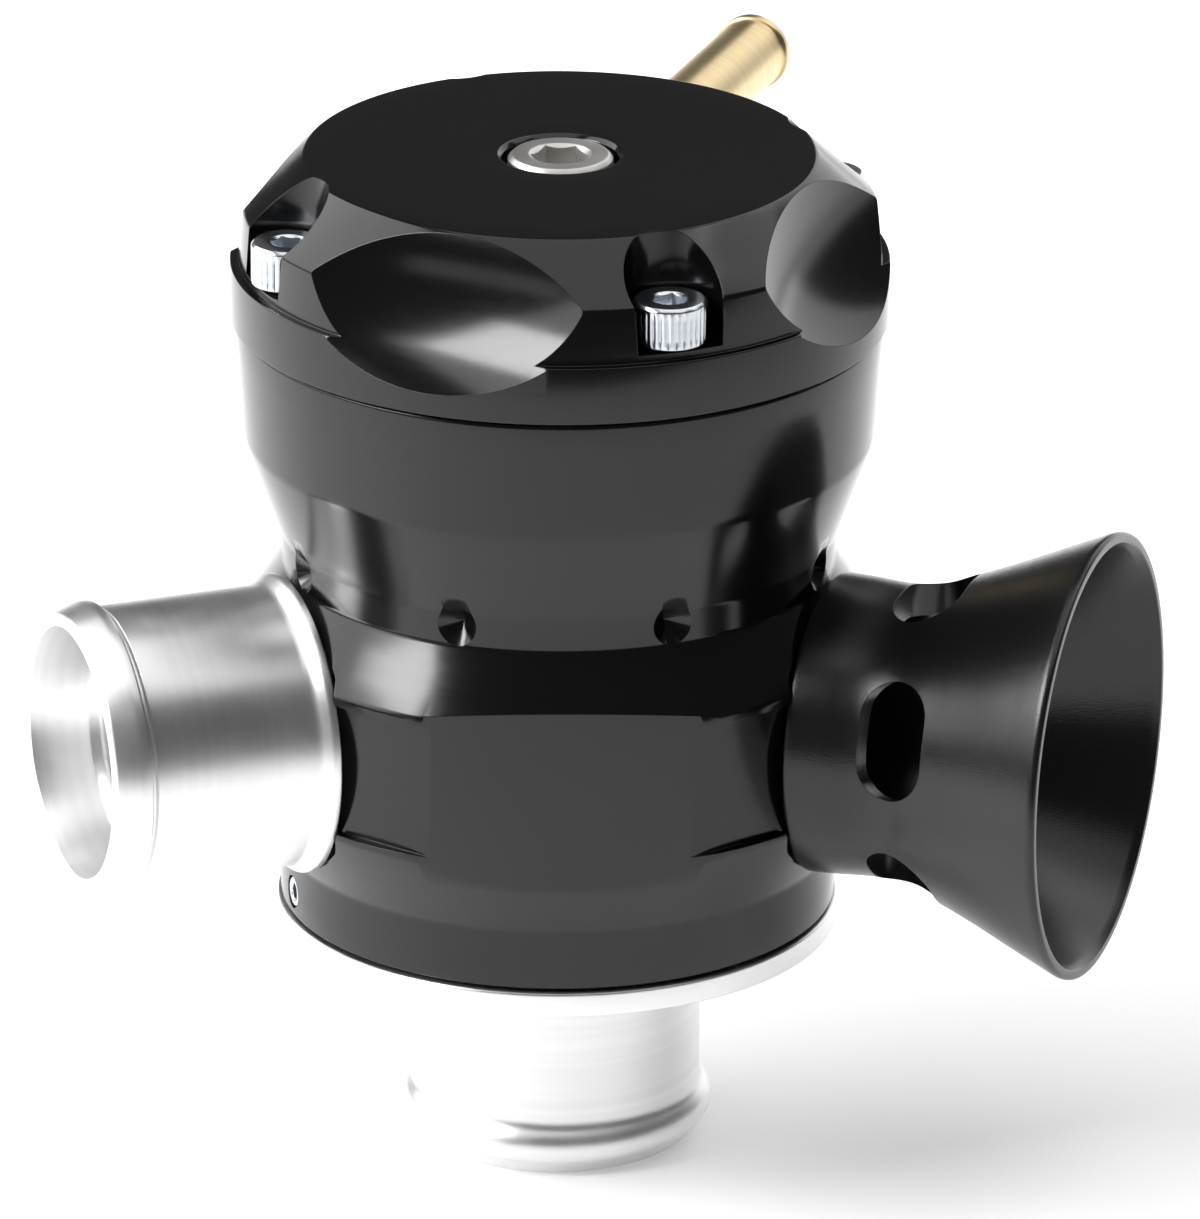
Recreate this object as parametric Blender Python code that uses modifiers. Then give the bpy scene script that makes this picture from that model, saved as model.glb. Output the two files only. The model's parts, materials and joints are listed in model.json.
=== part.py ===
"""A blow off valve for a turbocharged engine, standing on its inlet spigot.

The valve's own axis is Z, with zero at the lower end of the inlet spigot. Azimuths are
counted in degrees from the front, which is -Y, and grow towards +X.
"""
import math

import bmesh
import bpy
from mathutils import Matrix, Vector

mm = 0.001

# clearances
seat_gap = 0.3 * mm
slide_fit = 0.08 * mm
press_fit = 0.1 * mm
ring_fit = 0.2 * mm

# facets round a turned piece
fine_steps = 48
port_steps = 32
small_steps = 16
ring_steps = 32

# bores and walls that the other radii follow
bore_radius = 17.5 * mm
spigot_bore = 11.3 * mm
port_throat = 10.5 * mm
edge_break = 0.35 * mm

# sealing rings of the plugs and of the cap
ring_section = 0.5 * mm
ring_groove_width = 1.4 * mm
ring_groove_depth = 0.9 * mm
ring_land = 0.1 * mm

# inlet base, a flange with a hose spigot below and a plug above
spigot_length = 22.1 * mm
spigot_wall = 2.5 * mm
spigot_radius = spigot_bore + spigot_wall
spigot_end_radius = spigot_radius - 0.5 * mm
spigot_bead_radius = spigot_radius + 1.15 * mm
spigot_bead_height = 3.0 * mm
spigot_bead_half = 1.8 * mm
plug_step = 4.8 * mm
plug_radius = bore_radius + plug_step
plug_land = 0.55 * mm
seat_ridge_height = 1.0 * mm
seat_ridge_width = 2.3 * mm
seat_ridge_radius = spigot_bore + seat_ridge_width
foot_wall = 4.0 * mm
foot_radius = plug_radius + seat_gap + foot_wall
flange_overhang = 0.3 * mm
flange_radius = foot_radius + flange_overhang
flange_thickness = 2.35 * mm
flange_edge = 0.3 * mm
flange_bottom = spigot_length
flange_top = flange_bottom + flange_thickness

# grub screws that hold the inlet base
grub_count = 2
grub_azimuth = -72.0
grub_rise = 2.35 * mm
grub_radius = 1.45 * mm
grub_hole_radius = grub_radius + 0.15 * mm
grub_hex = 1.5 * mm
grub_sunk = 0.5 * mm
grub_vee_depth = 0.5 * mm
grub_vee_half = 1.2 * mm

# body radii
body_wall = 8.8 * mm
belly_rise = 4.0 * mm
shoulder_rise = 4.4 * mm
shoulder_taper = 0.8 * mm
groove_depth = 1.1 * mm
waist_radius = bore_radius + body_wall
waist_top_radius = waist_radius + 0.2 * mm
belly_radius = waist_radius + belly_rise
shoulder_radius = waist_radius + shoulder_rise
shoulder_bottom_radius = shoulder_radius - shoulder_taper
groove_radius = shoulder_radius - groove_depth
plug_socket_radius = plug_radius + seat_gap

# side outlets, across the valve's axis
port_wall = 1.9 * mm
port_depth = 2.0 * mm
port_floor = 1.4 * mm
collar_wall = 3.85 * mm
spot_face_depth = 3.4 * mm
port_plug_radius = port_throat + port_wall
port_radius = port_plug_radius + seat_gap
port_shelf = bore_radius + port_depth
port_plug_inner = port_shelf + seat_gap
collar_radius = port_throat + collar_wall
spot_face = belly_radius - spot_face_depth
collar_back = spot_face + seat_gap
port_ring_place = (port_plug_inner + collar_back) / 2

# body heights, stacked up from the flange
foot_height = 5.75 * mm
belly_below_port = 7.0 * mm
belly_above_port = 7.3 * mm
waist_drop = 6.4 * mm
waist_height = 3.2 * mm
shoulder_slope = 9.5 * mm
shoulder_height = 11.3 * mm
groove_height = 0.95 * mm
body_bottom = flange_top + seat_gap
foot_top = body_bottom + foot_height
grub_height = body_bottom + grub_rise
plug_ring_height = grub_height + grub_vee_half + plug_land + ring_groove_width / 2
plug_top = plug_ring_height + ring_groove_width / 2 + ring_land + edge_break
plug_socket_top = plug_top + seat_gap
port_height = plug_socket_top + port_floor + port_radius
belly_bottom = port_height - belly_below_port
belly_top = port_height + belly_above_port
waist_bottom = belly_top + waist_drop
waist_top = waist_bottom + waist_height
shoulder_bottom = waist_top + shoulder_slope
shoulder_top = shoulder_bottom + shoulder_height

# recirculation outlet
outlet_azimuth = -69.0
outlet_collar_width = 0.7 * mm
outlet_collar_slope = 1.2 * mm
outlet_tube_step = 0.9 * mm
outlet_tube_wall = 1.4 * mm
outlet_length = 18.6 * mm
outlet_nose_length = 3.5 * mm
outlet_collar_end = collar_back + outlet_collar_width
outlet_tube_start = outlet_collar_end + outlet_collar_slope
outlet_tube_radius = collar_radius - outlet_tube_step
outlet_bead_start = collar_back + outlet_length
outlet_bead_radius = outlet_tube_radius + 0.65 * mm
outlet_nose_radius = outlet_tube_radius - 0.2 * mm
outlet_mouth_radius = outlet_tube_radius - outlet_tube_wall
outlet_end = outlet_bead_start + outlet_nose_length

# trumpet, its outlines in shares of its flare over the throat and of its length
trumpet_azimuth = 71.0
trumpet_length = 26.9 * mm
trumpet_flare = 10.9 * mm
trumpet_outside = (
    (1.0, 0.98), (0.972, 0.955), (0.798, 0.796), (0.656, 0.669), (0.532, 0.55), (0.445, 0.457),
    (0.367, 0.375), (0.335, 0.309), (0.326, 0.253), (0.33, 0.197), (0.344, 0.123), (0.351, 0.048),
)
trumpet_inside = (
    (0.009, 0.197), (0.037, 0.271), (0.101, 0.349), (0.211, 0.431), (0.339, 0.535),
    (0.495, 0.662), (0.679, 0.818), (0.862, 0.974),
)
trumpet_lip = 0.7 * mm
trumpet_end = collar_back + trumpet_length
trumpet_lip_outer = port_throat + trumpet_flare - 0.3 * mm
trumpet_lip_inner = trumpet_lip_outer - trumpet_lip
slot_count = 5
slot_place = 10.55 * mm
slot_width = 6.8 * mm
slot_length = 11.3 * mm
slot_centre = collar_back + slot_place

# dimples and milled faces of the body
dimple_count = 8
dimple_azimuth = 1.4 + 22.5
dimple_rise = 1.9 * mm
dimple_radius = 2.0 * mm
dimple_height = waist_bottom + dimple_rise
front_azimuth = 1.0
front_face_rounding = 8.3 * mm
front_face_depth = 0.9 * mm
front_face_radius = belly_radius + front_face_rounding
front_face_distance = belly_radius - front_face_depth
flat_azimuths = (-36.0, 37.0)
flat_depth = 1.0 * mm
flat_distance = belly_radius - flat_depth
flat_height = 13.0 * mm

# cap, its heights stacked up from the body's groove
cap_overhang = 0.5 * mm
cap_skirt_height = 5.0 * mm
cap_step_depth = 0.85 * mm
cap_step_height = 0.7 * mm
cap_side_height = 4.45 * mm
cap_side_taper = 0.35 * mm
cap_chamfer_height = 5.1 * mm
cap_chamfer_width = 5.85 * mm
cap_spigot_step = 2.4 * mm
cap_spigot_depth = 3.55 * mm
cap_roof_thickness = 3.0 * mm
cap_channel_height = 2.0 * mm
cap_bottom = shoulder_top + groove_height
cap_skirt_top = cap_bottom + cap_skirt_height
cap_step_top = cap_skirt_top + cap_step_height
cap_rim_height = cap_step_top + cap_side_height
cap_top = cap_rim_height + cap_chamfer_height
cap_skirt_radius = shoulder_radius + cap_overhang
cap_side_radius = cap_skirt_radius - cap_step_depth
cap_rim_radius = cap_side_radius - cap_side_taper
cap_face_radius = cap_rim_radius - cap_chamfer_width
cap_spigot_radius = bore_radius + cap_spigot_step
cap_spigot_bottom = cap_bottom - cap_spigot_depth
cap_ring_height = (cap_bottom + cap_spigot_bottom) / 2
cap_socket_radius = cap_spigot_radius + seat_gap
cap_socket_floor = cap_spigot_bottom - seat_gap
body_top = cap_bottom - seat_gap

# thumb scallops in the cap's rim, each cut by a leaning ball of three half sizes
scallop_count = 4
scallop_azimuth = -23.2
scallop_half_width = 31.35 * mm
scallop_half_length = 15.22 * mm
scallop_half_depth = 12.0 * mm
scallop_out = 5.85 * mm
scallop_below_top = 2.1 * mm
scallop_lean = 25.8

# cap screws, M4 socket heads in open pockets
cap_screw_count = 4
cap_screw_azimuth = 21.8
cap_screw_wall = 0.15 * mm
cap_screw_radius = 1.95 * mm
cap_screw_circle = groove_radius - cap_screw_radius - press_fit - cap_screw_wall
cap_screw_length = 16.0 * mm
cap_screw_head_radius = cap_screw_radius + 1.55 * mm
cap_screw_head_height = 4.0 * mm
cap_screw_hex = 3.0 * mm
cap_screw_hex_depth = 2.0 * mm
pocket_radius = 4.6 * mm
pocket_circle = cap_screw_circle - cap_screw_head_radius - seat_gap + pocket_radius
pocket_floor = cap_step_top

# adjuster: M6 screw with its clip and ring
adjuster_radius = 2.95 * mm
adjuster_head_radius = adjuster_radius + 2.05 * mm
adjuster_head_height = 5.7 * mm
adjuster_hex = 5.0 * mm
adjuster_hex_depth = 3.0 * mm
adjuster_pocket_radius = adjuster_head_radius + 0.5 * mm
adjuster_ring_section = 0.5 * mm
adjuster_ring_radius = adjuster_radius + adjuster_ring_section + 0.5 * mm
adjuster_pocket_floor = cap_top - adjuster_head_height - seat_gap
cap_roof_bottom = adjuster_pocket_floor - cap_roof_thickness
cap_channel_top = cap_roof_bottom + cap_channel_height
clip_thickness = 0.7 * mm
clip_width = 2.25 * mm
clip_radius = adjuster_radius + clip_width
clip_groove_depth = 0.45 * mm
clip_top = cap_roof_bottom - seat_gap
clip_bottom = clip_top - clip_thickness

# spring seat and its pin, set out from the clip outwards and downwards
seat_travel = 3.1 * mm
seat_stop = 0.6 * mm
seat_thickness = 3.5 * mm
seat_rest_top = clip_bottom - seat_stop - seat_travel
guide_pin_radius = 1.0 * mm
guide_pin_room = 0.5 * mm
guide_pin_circle = clip_radius + guide_pin_room + guide_pin_radius
guide_pin_azimuth = 45.0
guide_pin_depth = 2.2 * mm
guide_pin_bottom = seat_rest_top - seat_thickness - seat_travel - 1.2 * mm
adjuster_end = guide_pin_bottom - 1.0 * mm
spring_wire = 1.1 * mm
spring_room = 1.4 * mm
spring_radius = guide_pin_circle + guide_pin_radius + spring_room + spring_wire
spring_turn_count = 8
spring_point_count = 14
cap_bore_room = 1.2 * mm
cap_bore_radius = spring_radius + spring_wire + cap_bore_room
cap_channel_inner = guide_pin_circle + guide_pin_radius + press_fit + 0.2 * mm

# piston
piston_height = 28.0 * mm
piston_wall = 2.0 * mm
piston_floor = 3.4 * mm
piston_ring_height = 2.4 * mm
piston_ring_depth = 1.0 * mm
piston_ring_below_top = 4.0 * mm
seat_top = plug_top + seat_ridge_height
piston_bottom = seat_top + seat_gap
piston_radius = bore_radius - slide_fit
spring_bottom = piston_bottom + piston_floor + seat_gap
spring_top = seat_rest_top - seat_thickness - seat_gap

# vacuum nipple
nipple_azimuth = 160.0
nipple_rise = 2.9 * mm
nipple_radius = 3.5 * mm
nipple_bore = 2.2 * mm
nipple_reach = 23.0 * mm
nipple_bead_length = 1.4 * mm
nipple_height = cap_skirt_top + nipple_rise
nipple_bead_radius = nipple_radius + 0.28 * mm
nipple_inner = cap_bore_radius + 3.0 * mm
nipple_groove = cap_skirt_radius + nipple_reach
nipple_end = nipple_groove + nipple_bead_length

# how far a cutting shape reaches past what it cuts
overrun = 6.0 * mm


def clear_scene():
    for item in list(bpy.data.objects):
        bpy.data.objects.remove(item)


def make_collection(name):
    collection = bpy.data.collections.new(name)
    bpy.context.scene.collection.children.link(collection)
    return collection


def make_material(name, colour, roughness, metallic):
    material = bpy.data.materials.new(name)
    material.use_nodes = True
    shader = material.node_tree.nodes["Principled BSDF"]
    shader.inputs["Base Color"].default_value = (*colour, 1.0)
    shader.inputs["Roughness"].default_value = roughness
    shader.inputs["Metallic"].default_value = metallic
    material.diffuse_color = (*colour, 1.0)
    return material


clear_scene()
valve = make_collection("blow_off_valve")
cutters = make_collection("cutters")

black_anodised = make_material("black_anodised", (0.012, 0.012, 0.013), 0.32, 0.6)
bare_aluminium = make_material("bare_aluminium", (0.86, 0.87, 0.88), 0.28, 1.0)
zinc_steel = make_material("zinc_steel", (0.72, 0.74, 0.76), 0.3, 1.0)
stainless = make_material("stainless", (0.7, 0.7, 0.7), 0.25, 1.0)
brass = make_material("brass", (0.85, 0.66, 0.36), 0.25, 1.0)
spring_steel = make_material("spring_steel", (0.35, 0.35, 0.37), 0.4, 1.0)
ring_rubber = make_material("ring_rubber", (0.02, 0.02, 0.02), 0.7, 0.0)
guide_plastic = make_material("guide_plastic", (0.8, 0.78, 0.7), 0.5, 0.0)


def add_object(name, mesh, material, collection):
    item = bpy.data.objects.new(name, mesh)
    if material:
        mesh.materials.append(material)
    collection.objects.link(item)
    if collection is cutters:
        item.hide_render = True
        item.display_type = "WIRE"
    return item


def turned(name, profile, steps, material, closed=True, collection=valve):
    """A piece turned about its own Z from a profile that runs down its outer side."""
    mesh = bpy.data.meshes.new(name)
    points = [(radius, 0.0, height) for radius, height in profile]
    edges = [(i, i + 1) for i in range(len(points) - 1)]
    if closed:
        edges.append((len(points) - 1, 0))
    mesh.from_pydata(points, edges, [])
    item = add_object(name, mesh, material, collection)
    screw = item.modifiers.new("turning", "SCREW")
    screw.steps = steps
    screw.render_steps = steps
    screw.use_merge_vertices = True
    screw.merge_threshold = 0.00001
    screw.use_smooth_shade = True
    return item


def aim(item, azimuth, height, distance=0.0):
    """Turns an object's own Z outwards at an azimuth, its own Y upwards."""
    angle = math.radians(azimuth)
    item.location = (math.sin(angle) * distance, -math.cos(angle) * distance, height)
    item.rotation_euler = (math.pi / 2, 0.0, angle)


def stand(item, azimuth, circle, height):
    """Puts an upright object on a circle about the valve's axis."""
    angle = math.radians(azimuth)
    item.location = (math.sin(angle) * circle, -math.cos(angle) * circle, height)
    item.rotation_euler = (0.0, 0.0, angle)


def round_cutter(name, radius, start, end, steps, end_radius=None):
    """A cylinder or cone along its own Z from start to end."""
    mesh = bpy.data.meshes.new(name)
    shape = bmesh.new()
    bmesh.ops.create_cone(
        shape,
        cap_ends=True,
        segments=steps,
        radius1=radius,
        radius2=radius if end_radius is None else end_radius,
        depth=end - start,
        matrix=Matrix.Translation((0.0, 0.0, (start + end) / 2)),
    )
    shape.to_mesh(mesh)
    shape.free()
    return add_object(name, mesh, None, cutters)


def prism_cutter(name, outline, start, end):
    """A flat outline in X and Y drawn out along its own Z from start to end."""
    mesh = bpy.data.meshes.new(name)
    shape = bmesh.new()
    lower = [shape.verts.new((x, y, start)) for x, y in outline]
    upper = [shape.verts.new((x, y, end)) for x, y in outline]
    shape.faces.new(list(reversed(lower)))
    shape.faces.new(upper)
    count = len(outline)
    for i in range(count):
        following = (i + 1) % count
        shape.faces.new((lower[i], lower[following], upper[following], upper[i]))
    shape.to_mesh(mesh)
    shape.free()
    return add_object(name, mesh, None, cutters)


def hexagon(across_flats):
    corner = across_flats / math.sqrt(3)
    angles = [math.radians(60 * i) for i in range(6)]
    return [(corner * math.cos(a), corner * math.sin(a)) for a in angles]


def stadium(length, width, end_steps):
    """A slot's outline, long in X, with round ends."""
    radius = width / 2
    reach = length / 2 - radius
    outline = []
    for side in (0, 1):
        for i in range(end_steps + 1):
            angle = math.pi * (side + i / end_steps) - math.pi / 2
            centre = reach if side == 0 else -reach
            outline.append((centre + radius * math.cos(angle), radius * math.sin(angle)))
    return outline


def cut(item, cutter):
    modifier = item.modifiers.new(cutter.name, "BOOLEAN")
    modifier.operation = "DIFFERENCE"
    modifier.solver = "EXACT"
    modifier.object = cutter


def ring(name, radius, section, steps, material=ring_rubber):
    """A sealing ring about its own Z."""
    sides = 6
    profile = []
    for i in range(sides):
        angle = math.pi / 2 - math.tau * i / sides
        profile.append((radius + section * math.cos(angle), section * math.sin(angle)))
    return turned(name, profile, steps, material)


def ring_groove(radius, middle):
    """The part of a profile that goes down a plug's side past its ring groove."""
    half = ring_groove_width / 2
    root = radius - ring_groove_depth
    return [(radius, middle + half), (root, middle + half), (root, middle - half),
            (radius, middle - half)]


def make_inlet_base():
    bead = spigot_bead_height
    half = spigot_bead_half
    profile = [
        (seat_ridge_radius - 0.5 * mm, seat_top),
        (seat_ridge_radius, plug_top),
        (plug_radius - edge_break, plug_top),
        (plug_radius, plug_top - edge_break),
        *ring_groove(plug_radius, plug_ring_height),
        (plug_radius, grub_height + grub_vee_half),
        (plug_radius - grub_vee_depth, grub_height),
        (plug_radius, grub_height - grub_vee_half),
        (plug_radius, flange_top),
        (flange_radius - flange_edge, flange_top),
        (flange_radius, flange_top - flange_edge),
        (flange_radius, flange_bottom + flange_edge),
        (flange_radius - flange_edge, flange_bottom),
        (spigot_radius + 0.5 * mm, flange_bottom),
        (spigot_radius, flange_bottom - 0.5 * mm),
        (spigot_radius, bead + half),
        (spigot_radius + 0.75 * (spigot_bead_radius - spigot_radius), bead + 0.75 * half),
        (spigot_bead_radius, bead + 0.25 * half),
        (spigot_bead_radius, bead - 0.25 * half),
        (spigot_bead_radius - 0.35 * mm, bead - 0.8 * half),
        (spigot_end_radius + 0.1 * mm, 0.5 * mm),
        (spigot_end_radius - 0.3 * mm, 0.0),
        (spigot_bore + 0.5 * mm, 0.0),
        (spigot_bore, 0.5 * mm),
        (spigot_bore, seat_top - 1.0 * mm),
        (seat_ridge_radius - 1.1 * mm, seat_top),
    ]
    return turned("inlet_base", profile, fine_steps, bare_aluminium)


def make_body():
    profile = [
        (groove_radius, body_top),
        (groove_radius, shoulder_top),
        (shoulder_radius - 0.5 * mm, shoulder_top),
        (shoulder_radius, shoulder_top - 0.5 * mm),
        (shoulder_bottom_radius, shoulder_bottom),
        (waist_top_radius, waist_top),
        (waist_radius, waist_bottom),
        (belly_radius, belly_top),
        (belly_radius, belly_bottom),
        (foot_radius, foot_top),
        (foot_radius, body_bottom + edge_break),
        (foot_radius - edge_break, body_bottom),
        (plug_socket_radius, body_bottom),
        (plug_socket_radius, plug_socket_top),
        (bore_radius, plug_socket_top),
        (bore_radius, cap_socket_floor),
        (cap_socket_radius, cap_socket_floor),
        (cap_socket_radius, body_top),
    ]
    body = turned("body", profile, fine_steps, black_anodised)

    for name, azimuth in (("recirculation", outlet_azimuth), ("trumpet", trumpet_azimuth)):
        face_radius = collar_radius + seat_gap
        outside = belly_radius + overrun
        face = round_cutter(name + "_spot_face", face_radius, spot_face, outside, port_steps)
        port = round_cutter(name + "_port", port_radius, port_shelf, outside, port_steps)
        throat = round_cutter(name + "_throat", port_throat, 0.0, outside, port_steps)
        for cutter in (face, port, throat):
            aim(cutter, azimuth, port_height)
            cut(body, cutter)

    half_angle = math.radians(40.0)
    behind = front_face_radius - front_face_distance
    arc = []
    for i in range(17):
        angle = -half_angle + 2 * half_angle * i / 16
        x = front_face_radius * math.sin(angle)
        y = behind - front_face_radius * math.cos(angle)
        arc.append((x, y))
    reach = belly_radius + overrun
    outline = arc + [(arc[-1][0], -reach), (arc[0][0], -reach)]
    outline.reverse()
    front = prism_cutter("front_face", outline, body_bottom - overrun, waist_bottom)
    front.rotation_euler = (0.0, 0.0, math.radians(front_azimuth))
    cut(body, front)

    for i, azimuth in enumerate(flat_azimuths):
        wide = belly_radius / 2
        half = flat_height / 2
        outline = [(-wide, -half), (wide, -half), (wide, half), (-wide, half)]
        flat = prism_cutter("side_flat_%d" % (i + 1), outline, flat_distance, reach)
        aim(flat, azimuth, port_height)
        cut(body, flat)

    for i in range(dimple_count):
        azimuth = dimple_azimuth + i * 360 / dimple_count
        surface = waist_radius + 0.1 * mm
        dimple = round_cutter(
            "dimple_%d" % (i + 1),
            0.0,
            surface - dimple_radius,
            surface + dimple_radius,
            12,
            end_radius=2 * dimple_radius,
        )
        aim(dimple, azimuth, dimple_height)
        cut(body, dimple)

    for i in range(grub_count):
        azimuth = grub_azimuth + i * 360 / grub_count
        inside = plug_socket_radius - 1.0 * mm
        hole = round_cutter("grub_hole_%d" % (i + 1), grub_hole_radius, inside, reach, 16)
        aim(hole, azimuth, grub_height)
        cut(body, hole)

    for i in range(cap_screw_count):
        azimuth = cap_screw_azimuth + i * 360 / cap_screw_count
        radius = cap_screw_radius + press_fit
        bottom = screw_seat() - cap_screw_length - 1.0 * mm
        hole = round_cutter("body_hole_%d" % (i + 1), radius, bottom, cap_top, 16)
        stand(hole, azimuth, cap_screw_circle, 0.0)
        cut(body, hole)
    return body


def screw_seat():
    return pocket_floor + seat_gap


def make_grub_screws():
    for i in range(grub_count):
        azimuth = grub_azimuth + i * 360 / grub_count
        inner = plug_radius + 0.25 * mm
        outer = foot_radius - grub_sunk
        profile = [
            (0.0, outer),
            (grub_radius - 0.2 * mm, outer),
            (grub_radius, outer - 0.2 * mm),
            (grub_radius, inner + 0.4 * mm),
            (grub_radius - 0.5 * mm, inner),
            (0.0, inner),
        ]
        name = "grub_screw_%d" % (i + 1)
        grub = turned(name, profile, 16, stainless, closed=False)
        socket = prism_cutter(name + "_hex", hexagon(grub_hex), outer - 1.6 * mm, outer + 1.0 * mm)
        for item in (grub, socket):
            aim(item, azimuth, grub_height)
        cut(grub, socket)


def scallop_cutter(name, azimuth):
    """A leaning squashed ball beside the cap's rim that dishes out a thumb scallop."""
    mesh = bpy.data.meshes.new(name)
    shape = bmesh.new()
    bmesh.ops.create_uvsphere(shape, u_segments=48, v_segments=32, radius=1.0)
    size = Matrix.Diagonal((scallop_half_depth, scallop_half_width, scallop_half_length, 1.0))
    lean = Matrix.Rotation(-math.radians(scallop_lean), 4, "Y")
    turn = Matrix.Rotation(math.radians(azimuth - 90.0), 4, "Z")
    centre = Vector((cap_skirt_radius + scallop_out, 0.0, cap_top - scallop_below_top))
    bmesh.ops.transform(shape, matrix=turn @ Matrix.Translation(centre) @ lean @ size,
                        verts=shape.verts)
    shape.to_mesh(mesh)
    shape.free()
    return add_object(name, mesh, None, cutters)


def make_cap():
    profile = [
        (cap_face_radius, cap_top),
        (cap_rim_radius, cap_rim_height),
        (cap_side_radius, cap_step_top),
        (cap_skirt_radius, cap_skirt_top),
        (cap_skirt_radius, cap_bottom + edge_break),
        (cap_skirt_radius - edge_break, cap_bottom),
        (cap_spigot_radius, cap_bottom),
        *ring_groove(cap_spigot_radius, cap_ring_height),
        (cap_spigot_radius, cap_spigot_bottom + edge_break),
        (cap_spigot_radius - edge_break, cap_spigot_bottom),
        (cap_bore_radius, cap_spigot_bottom),
        (cap_bore_radius, cap_channel_top),
        (cap_channel_inner, cap_channel_top),
        (cap_channel_inner, cap_roof_bottom),
        (adjuster_radius + press_fit, cap_roof_bottom),
        (adjuster_radius + press_fit, adjuster_pocket_floor - 2 * adjuster_ring_section),
        (adjuster_ring_radius + adjuster_ring_section + ring_fit,
         adjuster_pocket_floor - 2 * adjuster_ring_section),
        (adjuster_ring_radius + adjuster_ring_section + ring_fit, adjuster_pocket_floor),
        (adjuster_pocket_radius, adjuster_pocket_floor),
        (adjuster_pocket_radius, cap_top - 0.3 * mm),
        (adjuster_pocket_radius + 0.3 * mm, cap_top),
    ]
    cap = turned("cap", profile, fine_steps, black_anodised)

    for i in range(scallop_count):
        azimuth = scallop_azimuth + i * 360 / scallop_count
        cut(cap, scallop_cutter("scallop_%d" % (i + 1), azimuth))

    for i in range(cap_screw_count):
        azimuth = cap_screw_azimuth + i * 360 / cap_screw_count
        pocket = round_cutter("pocket_%d" % (i + 1), pocket_radius, pocket_floor,
                              cap_top + overrun, port_steps)
        stand(pocket, azimuth, pocket_circle, 0.0)
        cut(cap, pocket)
        radius = cap_screw_radius + press_fit
        hole = round_cutter("cap_hole_%d" % (i + 1), radius, cap_bottom - overrun, cap_top, 16)
        stand(hole, azimuth, cap_screw_circle, 0.0)
        cut(cap, hole)

    pin_radius = guide_pin_radius + press_fit
    pin_end = cap_roof_bottom + guide_pin_depth
    pin_hole = round_cutter("guide_pin_hole", pin_radius, cap_roof_bottom - mm, pin_end, 12)
    stand(pin_hole, guide_pin_azimuth, guide_pin_circle, 0.0)
    cut(cap, pin_hole)

    reach = cap_skirt_radius + overrun
    radius = nipple_radius + press_fit
    inner = nipple_inner - seat_gap
    nipple_hole = round_cutter("nipple_hole", radius, inner, reach, small_steps)
    inside = cap_bore_radius - nipple_bore
    passage = round_cutter("vacuum_passage", nipple_bore, inside, reach, 16)
    for cutter in (nipple_hole, passage):
        aim(cutter, nipple_azimuth, nipple_height)
        cut(cap, cutter)
    return cap


def socket_screw(name, radius, head_radius, seat, head_height, end, hex_size, hex_depth,
                 steps, material, chamfer, neck=()):
    """A socket head screw about its own Z, its head's underside at the seat."""
    top = seat + head_height
    profile = [
        (0.0, top),
        (head_radius - chamfer, top),
        (head_radius, top - chamfer),
        (head_radius, seat),
        (radius, seat),
        *neck,
        (radius, end + radius * 0.4),
        (radius * 0.6, end),
        (0.0, end),
    ]
    screw = turned(name, profile, steps, material, closed=False)
    socket = prism_cutter(name + "_hex", hexagon(hex_size), top - hex_depth, top + 1.0 * mm)
    cut(screw, socket)
    return screw, socket


def make_cap_screws():
    seat = screw_seat()
    for i in range(cap_screw_count):
        azimuth = cap_screw_azimuth + i * 360 / cap_screw_count
        screw, socket = socket_screw(
            "cap_screw_%d" % (i + 1), cap_screw_radius, cap_screw_head_radius, seat,
            cap_screw_head_height, seat - cap_screw_length, cap_screw_hex, cap_screw_hex_depth,
            small_steps, zinc_steel, 0.3 * mm)
        for item in (screw, socket):
            stand(item, azimuth, cap_screw_circle, 0.0)


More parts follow.
